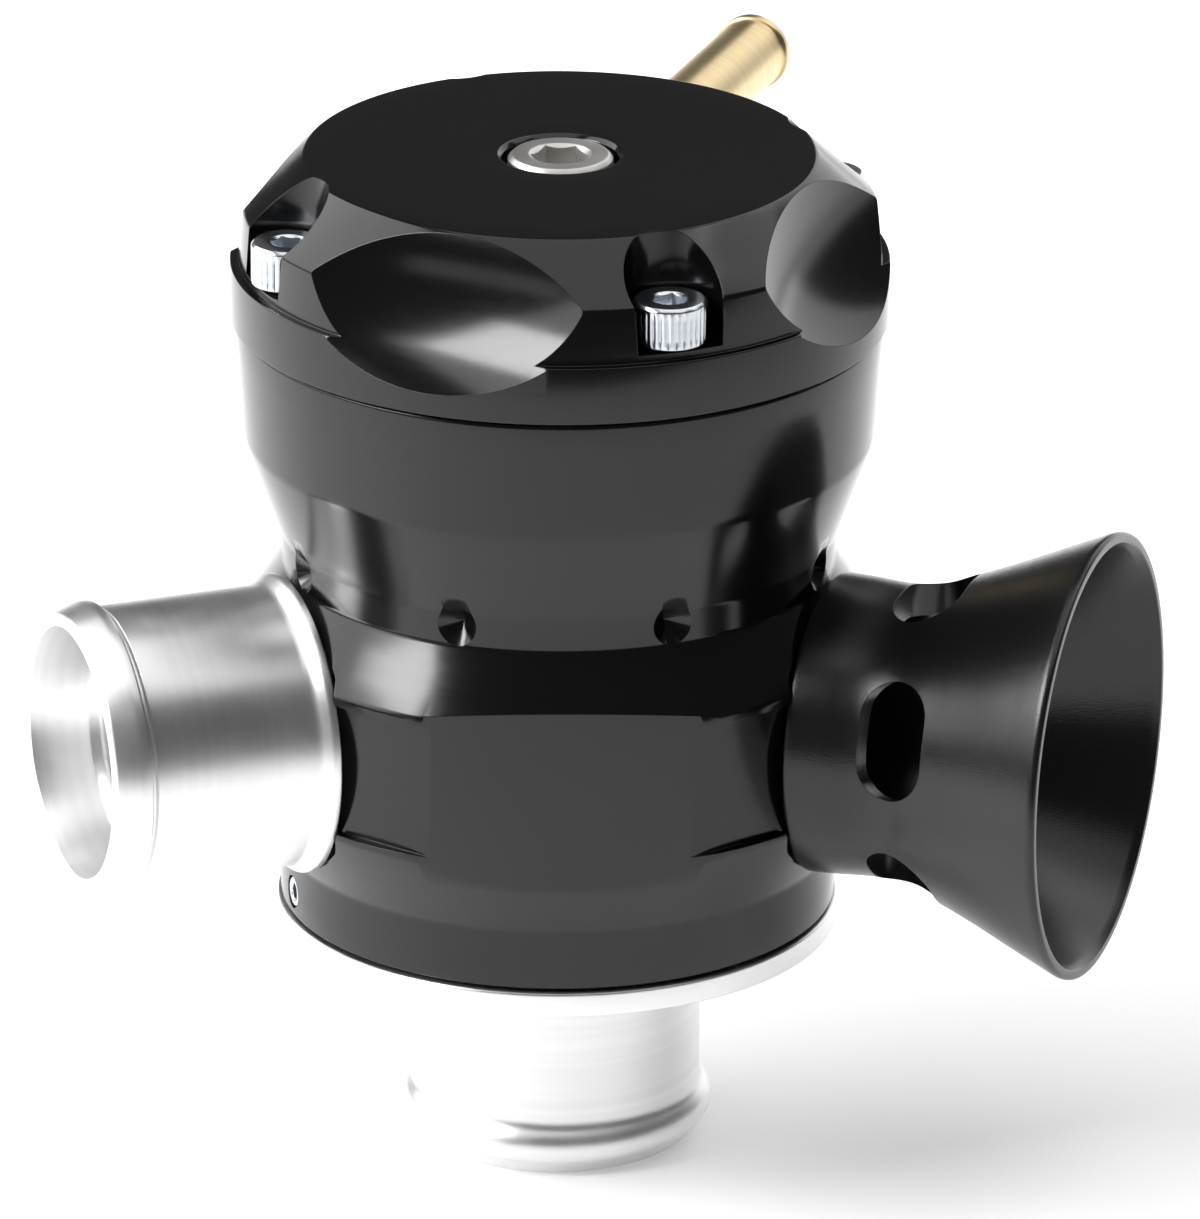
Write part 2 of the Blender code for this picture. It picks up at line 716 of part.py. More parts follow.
def make_adjuster():
    root = adjuster_radius - clip_groove_depth
    room = 0.05 * mm
    neck = [
        (adjuster_radius, clip_top + room),
        (root, clip_top + room),
        (root, clip_bottom - room),
        (adjuster_radius, clip_bottom - room),
    ]
    socket_screw(
        "adjuster_screw", adjuster_radius, adjuster_head_radius,
        adjuster_pocket_floor + seat_gap, adjuster_head_height, adjuster_end,
        adjuster_hex, adjuster_hex_depth, small_steps, stainless, 0.4 * mm, neck)

    clip_profile = [
        (clip_radius, clip_top),
        (clip_radius, clip_bottom),
        (root + press_fit, clip_bottom),
        (root + press_fit, clip_top),
    ]
    clip = turned("adjuster_clip", clip_profile, small_steps, spring_steel)
    mouth = root * 0.8
    outline = [(-mouth, 0.0), (-mouth, -clip_radius * 1.5), (mouth, -clip_radius * 1.5), (mouth, 0.0)]
    gap = prism_cutter("clip_mouth", outline, clip_bottom - mm, clip_top + mm)
    cut(clip, gap)

    seal = ring("adjuster_o_ring", adjuster_ring_radius, adjuster_ring_section, small_steps)
    seal.location.z = adjuster_pocket_floor - adjuster_ring_section

    seat_bottom = seat_rest_top - seat_thickness
    seat_radius = cap_bore_radius - slide_fit
    lip = 1.0 * mm
    seat_profile = [
        (seat_radius - edge_break, seat_rest_top),
        (seat_radius, seat_rest_top - edge_break),
        (seat_radius, seat_bottom),
        (spring_radius - spring_wire - 0.3 * mm, seat_bottom),
        (spring_radius - spring_wire - 0.8 * mm, seat_bottom - lip),
        (adjuster_radius + press_fit, seat_bottom - lip),
        (adjuster_radius + press_fit, seat_rest_top),
    ]
    spring_seat = turned("spring_seat", seat_profile, port_steps, bare_aluminium)
    slot_radius = guide_pin_radius + press_fit
    pin_slot = round_cutter("pin_slot", slot_radius, seat_bottom - overrun,
                            seat_rest_top + overrun, 12)
    stand(pin_slot, guide_pin_azimuth, guide_pin_circle, 0.0)
    cut(spring_seat, pin_slot)

    pin_top = cap_roof_bottom + guide_pin_depth - seat_gap
    pin_profile = [
        (0.0, pin_top),
        (guide_pin_radius, pin_top),
        (guide_pin_radius, guide_pin_bottom + 0.3 * mm),
        (guide_pin_radius - 0.3 * mm, guide_pin_bottom),
        (0.0, guide_pin_bottom),
    ]
    pin = turned("seat_guide_pin", pin_profile, 12, stainless, closed=False)
    stand(pin, guide_pin_azimuth, guide_pin_circle, 0.0)


def make_piston():
    top = piston_bottom + piston_height
    ring_top = top - piston_ring_below_top
    ring_bottom = ring_top - piston_ring_height
    root = piston_radius - piston_ring_depth
    inside = piston_radius - piston_wall
    room = 0.1 * mm
    profile = [
        (piston_radius - 0.4 * mm, top),
        (piston_radius, top - 0.4 * mm),
        (piston_radius, ring_top),
        (root, ring_top),
        (root, ring_bottom),
        (piston_radius, ring_bottom),
        (piston_radius, piston_bottom + 0.5 * mm),
        (piston_radius - 0.5 * mm, piston_bottom),
        (seat_ridge_radius - 1.6 * mm, piston_bottom),
        (seat_ridge_radius - 2.6 * mm, piston_bottom + 1.0 * mm),
        (0.0, piston_bottom + 1.0 * mm),
    ]
    under = list(profile)
    over = [
        (0.0, piston_bottom + piston_floor),
        (spring_radius + spring_wire + 0.6 * mm, piston_bottom + piston_floor),
        (inside, piston_bottom + piston_floor + 1.2 * mm),
        (inside, top),
    ]
    piston = turned("piston", over + under, port_steps, bare_aluminium, closed=False)
    ring_profile = [
        (bore_radius - slide_fit, ring_top - room),
        (bore_radius - slide_fit, ring_bottom + room),
        (root + room, ring_bottom + room),
        (root + room, ring_top - room),
    ]
    turned("piston_ring", ring_profile, port_steps, guide_plastic)
    return piston


def make_spring():
    """A coil with closed ends from the piston's floor to the spring seat."""
    bottom = spring_bottom + spring_wire
    top = spring_top - spring_wire
    closed_rise = 2 * spring_wire + 0.15 * mm
    open_turns = spring_turn_count - 2
    open_rise = (top - bottom - 2 * closed_rise) / open_turns
    curve = bpy.data.curves.new("valve_spring", "CURVE")
    curve.dimensions = "3D"
    curve.bevel_depth = spring_wire
    curve.bevel_resolution = 2
    curve.use_fill_caps = True
    count = spring_turn_count * spring_point_count + 1
    spline = curve.splines.new("POLY")
    spline.points.add(count - 1)
    for i in range(count):
        turn = i / spring_point_count
        if turn < 1:
            height = bottom + closed_rise * turn
        elif turn > spring_turn_count - 1:
            height = top - closed_rise * (spring_turn_count - turn)
        else:
            height = bottom + closed_rise + open_rise * (turn - 1)
        angle = math.tau * turn
        point = (spring_radius * math.cos(angle), spring_radius * math.sin(angle), height, 1.0)
        spline.points[i].co = point
    curve.materials.append(spring_steel)
    spring = bpy.data.objects.new("valve_spring", curve)
    valve.objects.link(spring)


def port_plug_profile():
    """The buried end of an outlet, from its collar's back to its throat."""
    return [
        (collar_radius, collar_back),
        (port_plug_radius, collar_back),
        *ring_groove(port_plug_radius, port_ring_place),
        (port_plug_radius, port_plug_inner + edge_break),
        (port_plug_radius - edge_break, port_plug_inner),
        (port_throat, port_plug_inner),
    ]


def make_recirculation_outlet():
    profile = [
        (outlet_mouth_radius, outlet_end),
        (outlet_nose_radius - 0.4 * mm, outlet_end),
        (outlet_nose_radius, outlet_end - 0.25 * mm),
        (outlet_bead_radius - 0.05 * mm, outlet_bead_start + 0.9 * mm),
        (outlet_bead_radius, outlet_bead_start + 0.5 * mm),
        (outlet_bead_radius - 0.1 * mm, outlet_bead_start),
        (outlet_tube_radius, outlet_bead_start - 0.2 * mm),
        (outlet_tube_radius, outlet_tube_start),
        (collar_radius, outlet_collar_end),
        *port_plug_profile(),
        (port_throat, outlet_end - 12.0 * mm),
        (port_throat + 0.5 * mm, outlet_end - 6.0 * mm),
        (outlet_mouth_radius - 0.6 * mm, outlet_end - 2.0 * mm),
    ]
    outlet = turned("recirculation_outlet", profile, port_steps, bare_aluminium)
    seal = ring("recirculation_o_ring", ring_middle(port_plug_radius), ring_section, ring_steps)
    aim(outlet, outlet_azimuth, port_height)
    aim(seal, outlet_azimuth, port_height, port_ring_place)


def ring_middle(plug):
    return plug - ring_groove_depth + ring_fit + ring_section


def trumpet_line(shares):
    line = []
    for flare, place in shares:
        line.append((port_throat + flare * trumpet_flare, collar_back + place * trumpet_length))
    return line


def make_trumpet():
    profile = [
        (trumpet_lip_inner, trumpet_end),
        (trumpet_lip_outer, trumpet_end),
        *trumpet_line(trumpet_outside),
        (collar_radius, collar_back + 0.5 * mm),
        *port_plug_profile(),
        *trumpet_line(trumpet_inside),
    ]
    trumpet = turned("trumpet", profile, port_steps, black_anodised)
    aim(trumpet, trumpet_azimuth, port_height)
    seal = ring("trumpet_o_ring", ring_middle(port_plug_radius), ring_section, ring_steps)
    aim(seal, trumpet_azimuth, port_height, port_ring_place)

    axis = math.radians(trumpet_azimuth)
    for i in range(slot_count):
        around = math.radians(90.0 + i * 360 / slot_count)
        outline = stadium(slot_length, slot_width, 6)
        outside = trumpet_lip_outer + overrun
        slot = prism_cutter("trumpet_slot_%d" % (i + 1), outline, port_throat / 2, outside)
        outwards = Matrix.Rotation(around, 4, "Z") @ Matrix.Rotation(math.pi / 2, 4, "Y")
        lengthwise = Matrix.Rotation(math.pi / 2, 4, "Z")
        along = Matrix.Translation((0.0, 0.0, slot_centre))
        facing = Matrix.Rotation(axis, 4, "Z") @ Matrix.Rotation(math.pi / 2, 4, "X")
        lift = Matrix.Translation((0.0, 0.0, port_height))
        slot.matrix_world = lift @ facing @ along @ outwards @ lengthwise
        cut(trumpet, slot)


def make_nipple():
    profile = [
        (nipple_bore + 0.2 * mm, nipple_end),
        (nipple_bead_radius - 0.5 * mm, nipple_end),
        (nipple_bead_radius, nipple_end - 0.5 * mm),
        (nipple_bead_radius, nipple_groove + 0.25 * mm),
        (nipple_radius, nipple_groove),
        (nipple_radius, nipple_inner + 0.3 * mm),
        (nipple_radius - 0.3 * mm, nipple_inner),
        (nipple_bore, nipple_inner),
        (nipple_bore, nipple_end - 0.2 * mm),
    ]
    nipple = turned("vacuum_nipple", profile, small_steps, brass)
    aim(nipple, nipple_azimuth, nipple_height)


make_inlet_base()
plug_seal = ring("inlet_base_o_ring", ring_middle(plug_radius), ring_section, ring_steps)
plug_seal.location.z = plug_ring_height
make_body()
make_grub_screws()
make_cap()
cap_seal = ring("cap_o_ring", ring_middle(cap_spigot_radius), ring_section, ring_steps)
cap_seal.location.z = cap_ring_height
make_cap_screws()
make_adjuster()
make_piston()
make_spring()
make_recirculation_outlet()
make_trumpet()
make_nipple()
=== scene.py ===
import json
import math

import bpy
import numpy as np
from mathutils import Matrix, Vector


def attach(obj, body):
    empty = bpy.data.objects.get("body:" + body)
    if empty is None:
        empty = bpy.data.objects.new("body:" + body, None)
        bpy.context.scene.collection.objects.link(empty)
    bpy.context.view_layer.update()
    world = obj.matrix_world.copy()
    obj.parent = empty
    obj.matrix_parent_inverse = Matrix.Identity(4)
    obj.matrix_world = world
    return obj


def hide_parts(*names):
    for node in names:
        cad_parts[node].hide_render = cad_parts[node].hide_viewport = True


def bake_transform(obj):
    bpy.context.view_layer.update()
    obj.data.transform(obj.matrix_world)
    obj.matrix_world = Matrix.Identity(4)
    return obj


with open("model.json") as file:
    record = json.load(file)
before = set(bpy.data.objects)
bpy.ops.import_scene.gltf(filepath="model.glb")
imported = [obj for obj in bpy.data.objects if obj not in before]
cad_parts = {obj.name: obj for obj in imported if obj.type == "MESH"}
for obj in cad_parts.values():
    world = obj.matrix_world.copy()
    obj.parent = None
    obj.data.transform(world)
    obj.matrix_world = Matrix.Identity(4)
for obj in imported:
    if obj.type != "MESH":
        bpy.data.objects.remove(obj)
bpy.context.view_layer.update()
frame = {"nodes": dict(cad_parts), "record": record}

mm = 0.001

# Azimuths are degrees from the front, -Y, growing towards +X. Radii and heights are millimetres.
outletAzimuth = -69.0
trumpetAzimuth = 71.0
nippleAzimuth = 160.0
portHeight = 45.1
nippleHeight = 91.65

# The longest stretch of a turned ring's profile, and the angle past which an edge stays crisp.
ringStep = 3.0
crispAngle = 32.0


def axisFrame(azimuth, height):
    # Columns are the local X, Y and Z of a piece turned about a level axis, then its start.
    angle = math.radians(azimuth)
    side = np.array([math.cos(angle), math.sin(angle), 0.0])
    outward = np.array([math.sin(angle), -math.cos(angle), 0.0])
    return np.stack([side, np.array([0.0, 0.0, 1.0]), outward], axis=1), np.array([0.0, 0.0, height])


def uprightFrame(azimuth, circle):
    # An upright piece on a circle about the valve's axis, its local -Y pointing outwards.
    angle = math.radians(azimuth)
    side = np.array([math.cos(angle), math.sin(angle), 0.0])
    inward = np.array([-math.sin(angle), math.cos(angle), 0.0])
    centre = np.array([math.sin(angle), -math.cos(angle), 0.0]) * circle
    return np.stack([side, inward, np.array([0.0, 0.0, 1.0])], axis=1), centre


def placed(points, place):
    # Local millimetres to metres in the row frame.
    if place is not None:
        turn, start = place
        points = points @ turn.T + start
    return points * mm


def makePiece(name, points, faces):
    mesh = bpy.data.meshes.new(name)
    mesh.from_pydata(points.tolist(), [], faces)
    mesh.update()
    piece = bpy.data.objects.new(name, mesh)
    bpy.context.scene.collection.objects.link(piece)
    return piece


def roundedLine(corners, bends=5):
    # Each corner (radius, height, rounding) becomes a curve that starts and ends the rounding's
    # length from it, with the corner as the control point of a quadratic curve.
    count = len(corners)
    line = []
    for i, (radius, height, rounding) in enumerate(corners):
        here = np.array([radius, height])
        if rounding == 0:
            line.append(here)
            continue
        before = np.array(corners[i - 1][:2]) - here
        after = np.array(corners[(i + 1) % count][:2]) - here
        reach = [min(rounding, 0.49 * np.linalg.norm(side)) for side in (before, after)]
        start = here + before / np.linalg.norm(before) * reach[0]
        end = here + after / np.linalg.norm(after) * reach[1]
        for t in np.linspace(0.0, 1.0, bends):
            line.append((1 - t) ** 2 * start + 2 * t * (1 - t) * here + t ** 2 * end)
    return np.array(line)


def subdivided(line, longest, closed):
    # Extra points along long stretches keep the quads of a turned piece near square.
    ends = np.roll(line, -1, axis=0)
    if not closed:
        line, ends, last = line[:-1], ends[:-1], line[-1:]
    pieces = []
    for start, end in zip(line, ends):
        parts = max(1, int(math.ceil(np.linalg.norm(end - start) / longest)))
        steps = np.arange(parts)[:, None] / parts
        pieces.append(start + (end - start) * steps)
    if not closed:
        pieces.append(last)
    return np.concatenate(pieces)


def ringProfile(corners):
    # The section of a ring: it closes on itself and doesn't touch the turning axis.
    return subdivided(roundedLine(corners), ringStep, True)


def axisProfile(corners, longest):
    # The section of a solid piece: it starts and ends on the turning axis.
    return subdivided(roundedLine(corners), longest, False)


def poleFaces(pole, ring, below=False):
    # A triangle from the pole to each side of the ring next to it, facing outwards.
    beside = np.roll(ring, -1)
    first, second = (beside, ring) if below else (ring, beside)
    return np.column_stack([np.full(len(ring), pole), first, second]).tolist()


def turnedPiece(name, line, steps, place=None, ripple=None):
    # A profile carried round its own Z: x = r sin a, y = -r cos a, z = height. A profile that
    # starts and ends on the axis closes with poles, any other is a ring. The ripple adds to the
    # radius as a function of angle and height.
    poles = line[0, 0] < 1e-6
    angle = np.arange(steps) * 2 * np.pi / steps
    rings = line[1:-1] if poles else line
    radius = np.repeat(rings[:, :1], steps, axis=1)
    height = np.repeat(rings[:, 1:], steps, axis=1)
    if ripple:
        radius = radius + ripple(angle[None, :], height, radius)
    points = np.stack([radius * np.sin(angle), -radius * np.cos(angle), height], axis=-1)
    points = points.reshape(-1, 3)
    count = len(rings)
    grid = np.arange(count * steps).reshape(count, steps)
    if poles:
        upper, lower = grid[:-1], grid[1:]
    else:
        upper, lower = grid, np.roll(grid, -1, axis=0)
    quads = np.stack([upper, lower, np.roll(lower, -1, axis=1), np.roll(upper, -1, axis=1)], axis=-1)
    faces = quads.reshape(-1, 4).tolist()
    if poles:
        first, last = len(points), len(points) + 1
        points = np.concatenate([points, [[0, 0, line[0, 1]], [0, 0, line[-1, 1]]]])
        faces += poleFaces(first, grid[0]) + poleFaces(last, grid[-1], below=True)
    return makePiece(name, placed(points, place), faces)


def prism(name, outline, start, end, place=None):
    # A flat outline in local X and Y carried along local Z.
    outline = np.array(outline)
    count = len(outline)
    lower = np.column_stack([outline, np.full(count, start)])
    upper = np.column_stack([outline, np.full(count, end)])
    points = np.concatenate([lower, upper])
    ring = np.arange(count)
    beside = np.roll(ring, -1)
    sides = np.stack([ring, beside, beside + count, ring + count], axis=-1).tolist()
    faces = sides + [ring[::-1].tolist(), (ring + count).tolist()]
    return makePiece(name, placed(points, place), faces)


def hexOutline(acrossFlats):
    # Six corners at the width across flats over the root of three.
    corner = acrossFlats / math.sqrt(3)
    angle = np.radians(np.arange(6) * 60.0)
    return np.column_stack([corner * np.cos(angle), corner * np.sin(angle)])


def smoothed(piece):
    piece.data.shade_smooth()
    piece.data.set_sharp_from_angle(angle=math.radians(crispAngle))
    return piece


def carve(piece, cutters):
    # Takes the cutters away from a piece, and leaves a finished mesh with crisp edges.
    group = bpy.data.collections.new(piece.name + "Cuts")
    bpy.context.scene.collection.children.link(group)
    for cutter in cutters:
        bpy.context.scene.collection.objects.unlink(cutter)
        group.objects.link(cutter)
    cut = piece.modifiers.new("cuts", "BOOLEAN")
    cut.operation = "DIFFERENCE"
    cut.solver = "EXACT"
    cut.operand_type = "COLLECTION"
    cut.collection = group
    graph = bpy.context.evaluated_depsgraph_get()
    finished = bpy.data.meshes.new_from_object(piece.evaluated_get(graph))
    piece.modifiers.clear()
    piece.data = finished
    for cutter in cutters:
        bpy.data.objects.remove(cutter)
    bpy.data.collections.remove(group)
    return smoothed(piece)


def finishPiece(piece, material, slot, body, *nodes):
    piece.data.materials.clear()
    piece.data.materials.append(material)
    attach(piece, body)
    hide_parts(*nodes)
    print(piece.name, "is done, with", len(piece.data.polygons), "faces")
    return piece


def newMaterial(name):
    material = bpy.data.materials.new(name)
    material.use_nodes = True
    tree = material.node_tree
    return material, tree, tree.nodes["Principled BSDF"]


def link(tree, output, target):
    tree.links.new(output, target)


def mathNode(tree, operation, *values):
    node = tree.nodes.new("ShaderNodeMath")
    node.operation = operation
    for i, value in enumerate(values):
        if isinstance(value, (int, float)):
            node.inputs[i].default_value = value
        else:
            link(tree, value, node.inputs[i])
    return node.outputs[0]


def vectorNode(tree, operation, *values):
    node = tree.nodes.new("ShaderNodeVectorMath")
    node.operation = operation
    for i, value in enumerate(values):
        if isinstance(value, (tuple, list, Vector)):
            node.inputs[i].default_value = value
        else:
            link(tree, value, node.inputs[i])
    return node.outputs["Value"] if operation in ("LENGTH", "DOT_PRODUCT") else node.outputs[0]


def rangeNode(tree, value, low, high, toLow, toHigh):
    node = tree.nodes.new("ShaderNodeMapRange")
    node.clamp = True
    link(tree, value, node.inputs["Value"])
    for key, number in (("From Min", low), ("From Max", high), ("To Min", toLow), ("To Max", toHigh)):
        node.inputs[key].default_value = number
    return node.outputs["Result"]


def spreadNode(tree, noise, toLow, toHigh):
    # Noise keeps to its middle, so its stretch from 0.3 to 0.7 is spread over the whole range.
    return rangeNode(tree, noise, 0.3, 0.7, toLow, toHigh)


def turnedCoordinates(tree, place):
    # Distance from the turning axis, place along it, and the direction round it, in metres.
    axis = Vector(place[0][:, 2])
    start = Vector(place[1]) * mm
    coordinate = tree.nodes.new("ShaderNodeTexCoord")
    point = vectorNode(tree, "SUBTRACT", coordinate.outputs["Object"], tuple(start))
    along = vectorNode(tree, "DOT_PRODUCT", point, tuple(axis))
    scaled = tree.nodes.new("ShaderNodeVectorMath")
    scaled.operation = "SCALE"
    scaled.inputs[0].default_value = axis
    link(tree, along, scaled.inputs["Scale"])
    outward = vectorNode(tree, "SUBTRACT", point, scaled.outputs[0])
    distance = vectorNode(tree, "LENGTH", outward)
    around = vectorNode(tree, "CROSS_PRODUCT", tuple(axis), outward)
    tangent = vectorNode(tree, "NORMALIZE", around)
    return point, distance, along, tangent


def noiseNode(tree, vector, scale, detail, roughness=0.55):
    node = tree.nodes.new("ShaderNodeTexNoise")
    node.inputs["Scale"].default_value = scale
    node.inputs["Detail"].default_value = detail
    node.inputs["Roughness"].default_value = roughness
    link(tree, vector, node.inputs["Vector"])
    return node.outputs["Fac"]


def ringNoise(tree, distance, along, scale, detail):
    # Noise that depends only on the distance from the axis and the place along it: tool rings.
    combined = tree.nodes.new("ShaderNodeCombineXYZ")
    link(tree, distance, combined.inputs[0])
    link(tree, along, combined.inputs[2])
    return noiseNode(tree, combined.outputs[0], scale, detail)


def mixedColour(tree, share, look):
    colour = tree.nodes.new("ShaderNodeMix")
    colour.data_type = "RGBA"
    colour.inputs["A"].default_value = (*look["dark"], 1)
    colour.inputs["B"].default_value = (*look["light"], 1)
    link(tree, share, colour.inputs["Factor"])
    return colour.outputs["Result"]


def bumpNode(tree, height, distance, normal):
    node = tree.nodes.new("ShaderNodeBump")
    node.inputs["Distance"].default_value = distance
    node.inputs["Strength"].default_value = 1.0
    link(tree, height, node.inputs["Height"])
    link(tree, normal, node.inputs["Normal"])
    return node.outputs["Normal"]


def edgeNormal(tree, radius):
    node = tree.nodes.new("ShaderNodeBevel")
    node.samples = 6
    node.inputs["Radius"].default_value = radius
    return node.outputs["Normal"]


def toolSheen(tree, shader, tangent, look):
    # A quarter turn lays the highlights across the tool rings.
    shader.inputs["Metallic"].default_value = look["metallic"]
    shader.inputs["Anisotropic"].default_value = look["anisotropy"]
    shader.inputs["Anisotropic Rotation"].default_value = 0.25
    link(tree, tangent, shader.inputs["Tangent"])


def anodisedMaterial(name, place, look):
    # A dyed oxide film: nearly black, with a sheen that is stretched across the tool rings.
    material, tree, shader = newMaterial(name)
    point, distance, along, tangent = turnedCoordinates(tree, place)
    rings = ringNoise(tree, distance, along, look["ringScale"], detail=2.0)
    blotches = noiseNode(tree, point, look["blotchScale"], detail=4.0, roughness=0.6)
    grain = noiseNode(tree, point, look["grainScale"], detail=2.0, roughness=0.5)
    rough = mathNode(tree, "ADD", spreadNode(tree, rings, -look["ringRough"], look["ringRough"]),
                     spreadNode(tree, blotches, -look["blotchRough"], look["blotchRough"]))
    link(tree, mathNode(tree, "ADD", rough, look["rough"]), shader.inputs["Roughness"])
    link(tree, mixedColour(tree, grain, look), shader.inputs["Base Color"])
    shader.inputs["Specular IOR Level"].default_value = look["specular"]
    toolSheen(tree, shader, tangent, look)
    ringBump = bumpNode(tree, rings, look["ringBump"], edgeNormal(tree, look["edge"]))
    link(tree, bumpNode(tree, grain, look["grainBump"], ringBump), shader.inputs["Normal"])
    return material


def metalMaterial(name, place, look):
    # Bare metal: rings from the tool change the tone and the surface, and blotches the roughness.
    material, tree, shader = newMaterial(name)
    point, distance, along, tangent = turnedCoordinates(tree, place)
    rings = ringNoise(tree, distance, along, look["ringScale"], detail=3.0)
    fineRings = ringNoise(tree, distance, along, look["ringScale"] * look["fineScale"], detail=1.0)
    blotches = noiseNode(tree, point, look["blotchScale"], detail=4.0, roughness=0.6)
    shade = mathNode(tree, "ADD", mathNode(tree, "MULTIPLY", rings, look["ringShare"]),
                     mathNode(tree, "MULTIPLY", blotches, 1 - look["ringShare"]))
    link(tree, mixedColour(tree, spreadNode(tree, shade, 0.0, 1.0), look), shader.inputs["Base Color"])
    rough = mathNode(tree, "ADD", spreadNode(tree, blotches, -look["blotchRough"], look["blotchRough"]),
                     look["rough"])
    link(tree, rough, shader.inputs["Roughness"])
    toolSheen(tree, shader, tangent, look)
    ringBump = bumpNode(tree, rings, look["ringBump"], edgeNormal(tree, look["edge"]))
    fineBump = bumpNode(tree, fineRings, look["ringBump"] * look["fineShare"], ringBump)
    link(tree, fineBump, shader.inputs["Normal"])
    return material


capLook = dict(
    dark=(0.0022, 0.0022, 0.0024), light=(0.0042, 0.0042, 0.0045), rough=0.15, ringRough=0.015,
    blotchRough=0.02, ringScale=2200.0, blotchScale=60.0, grainScale=9000.0, ringBump=0.0003 * mm,
    grainBump=0.0015 * mm, edge=0.12 * mm, metallic=0.0, specular=0.5, anisotropy=0.3)
bodyLook = dict(capLook, rough=0.165, ringScale=2600.0)
trumpetLook = dict(
    capLook, dark=(0.005, 0.0048, 0.0046), light=(0.010, 0.0096, 0.0092), rough=0.22,
    grainScale=7000.0, grainBump=0.02 * mm, ringBump=0.0006 * mm)
aluminiumLook = dict(
    dark=(0.83, 0.835, 0.83), light=(0.93, 0.935, 0.93), rough=0.38, blotchRough=0.05,
    ringScale=1500.0, ringShare=0.6, fineScale=4.3, fineShare=0.4, blotchScale=90.0,
    ringBump=0.005 * mm, edge=0.1 * mm, metallic=1.0, anisotropy=0.35)
zincLook = dict(
    aluminiumLook, dark=(0.60, 0.63, 0.67), light=(0.76, 0.79, 0.84), rough=0.22, ringBump=0.001 * mm)
stainlessLook = dict(
    aluminiumLook, dark=(0.50, 0.49, 0.47), light=(0.70, 0.69, 0.67), rough=0.42, ringBump=0.001 * mm)
brassLook = dict(aluminiumLook, dark=(0.70, 0.53, 0.27), light=(0.82, 0.66, 0.40), rough=0.32)

outletPlace = axisFrame(outletAzimuth, portHeight)
trumpetPlace = axisFrame(trumpetAzimuth, portHeight)
nipplePlace = axisFrame(nippleAzimuth, nippleHeight)
upright = (np.eye(3), np.zeros(3))

capMetal = anodisedMaterial("capAnodised", upright, capLook)
bodyMetal = anodisedMaterial("bodyAnodised", upright, bodyLook)
trumpetMetal = anodisedMaterial("trumpetAnodised", trumpetPlace, trumpetLook)
baseMetal = metalMaterial("baseAluminium", upright, aluminiumLook)
outletMetal = metalMaterial("outletAluminium", outletPlace, aluminiumLook)
brassMetal = metalMaterial("nippleBrass", nipplePlace, brassLook)
stainlessMetal = metalMaterial("adjusterStainless", upright, stainlessLook)
print("The finishes of the turned pieces are ready")

cap = dict(
    top=99.0, faceRadius=24.15, rimRadius=30.0, rimHeight=93.9, sideRadius=30.35, sideFlare=0.02,
    stepTop=89.45, skirtRadius=31.2, skirtTop=88.75, lipBottom=83.25, lipRadius=29.85, bottom=83.75,
    spigotRadius=19.9, spigotBottom=80.2, boreRadius=12.5, roofBottom=90.0, screwPocketRadius=5.5,
    screwPocketFloor=93.0, screwPocketBevel=0.4, screwHoleRadius=3.05, steps=288)
scallop = dict(count=4, azimuth=-23.2, halfDepth=12.0, halfWidth=31.35, halfLength=15.22, circle=37.05,
               height=96.9, lean=25.8, rows=112, columns=176)
pocket = dict(count=4, azimuth=21.8, circle=28.2, screwCircle=27.4, radius=4.6, floor=89.45, above=4.0,
              steps=128)


def ballCutter(name, azimuth):
    # An ellipsoid: latitude and longitude on a grid, scaled, leant back and turned to its azimuth.
    rows, columns = scallop["rows"], scallop["columns"]
    latitude = np.linspace(0, np.pi, rows + 1)[1:-1]
    longitude = np.arange(columns) * 2 * np.pi / columns
    ringRadius = np.sin(latitude)[:, None]
    points = np.stack([ringRadius * np.cos(longitude), ringRadius * np.sin(longitude),
                       np.repeat(np.cos(latitude)[:, None], columns, axis=1)], axis=-1).reshape(-1, 3)
    points = np.concatenate([points, [[0, 0, 1], [0, 0, -1]]])
    points = points * [scallop["halfDepth"], scallop["halfWidth"], scallop["halfLength"]]
    grid = np.arange((rows - 1) * columns).reshape(rows - 1, columns)
    upper, lower = grid[:-1], grid[1:]
    quads = np.stack([upper, lower, np.roll(lower, -1, axis=1), np.roll(upper, -1, axis=1)], axis=-1)
    faces = quads.reshape(-1, 4).tolist()
    faces += poleFaces(len(points) - 2, grid[0]) + poleFaces(len(points) - 1, grid[-1], below=True)
    turn = np.array(Matrix.Rotation(math.radians(azimuth - 90.0), 3, "Z"))
    lean = np.array(Matrix.Rotation(-math.radians(scallop["lean"]), 3, "Y"))
    centre = np.array([scallop["circle"], 0.0, scallop["height"]])
    return makePiece(name, (points @ lean.T + centre) @ turn.T * mm, faces)


def scallopCutters():
    step = 360.0 / scallop["count"]
    return [ballCutter("scallopCutter", scallop["azimuth"] + i * step) for i in range(scallop["count"])]


def cylinderCutter(name, radius, start, end, steps, place):
    line = np.array([[0, end], [radius, end], [radius, start], [0, start]])
    return turnedPiece(name, line, steps, place)


def pocketCutters():
    above = cap["top"] + pocket["above"]
    cutters = []
    for i in range(pocket["count"]):
        place = uprightFrame(pocket["azimuth"] + i * 360.0 / pocket["count"], pocket["circle"])
        cutters.append(cylinderCutter("pocketCutter", pocket["radius"], pocket["floor"], above,
                                      pocket["steps"], place))
    return cutters


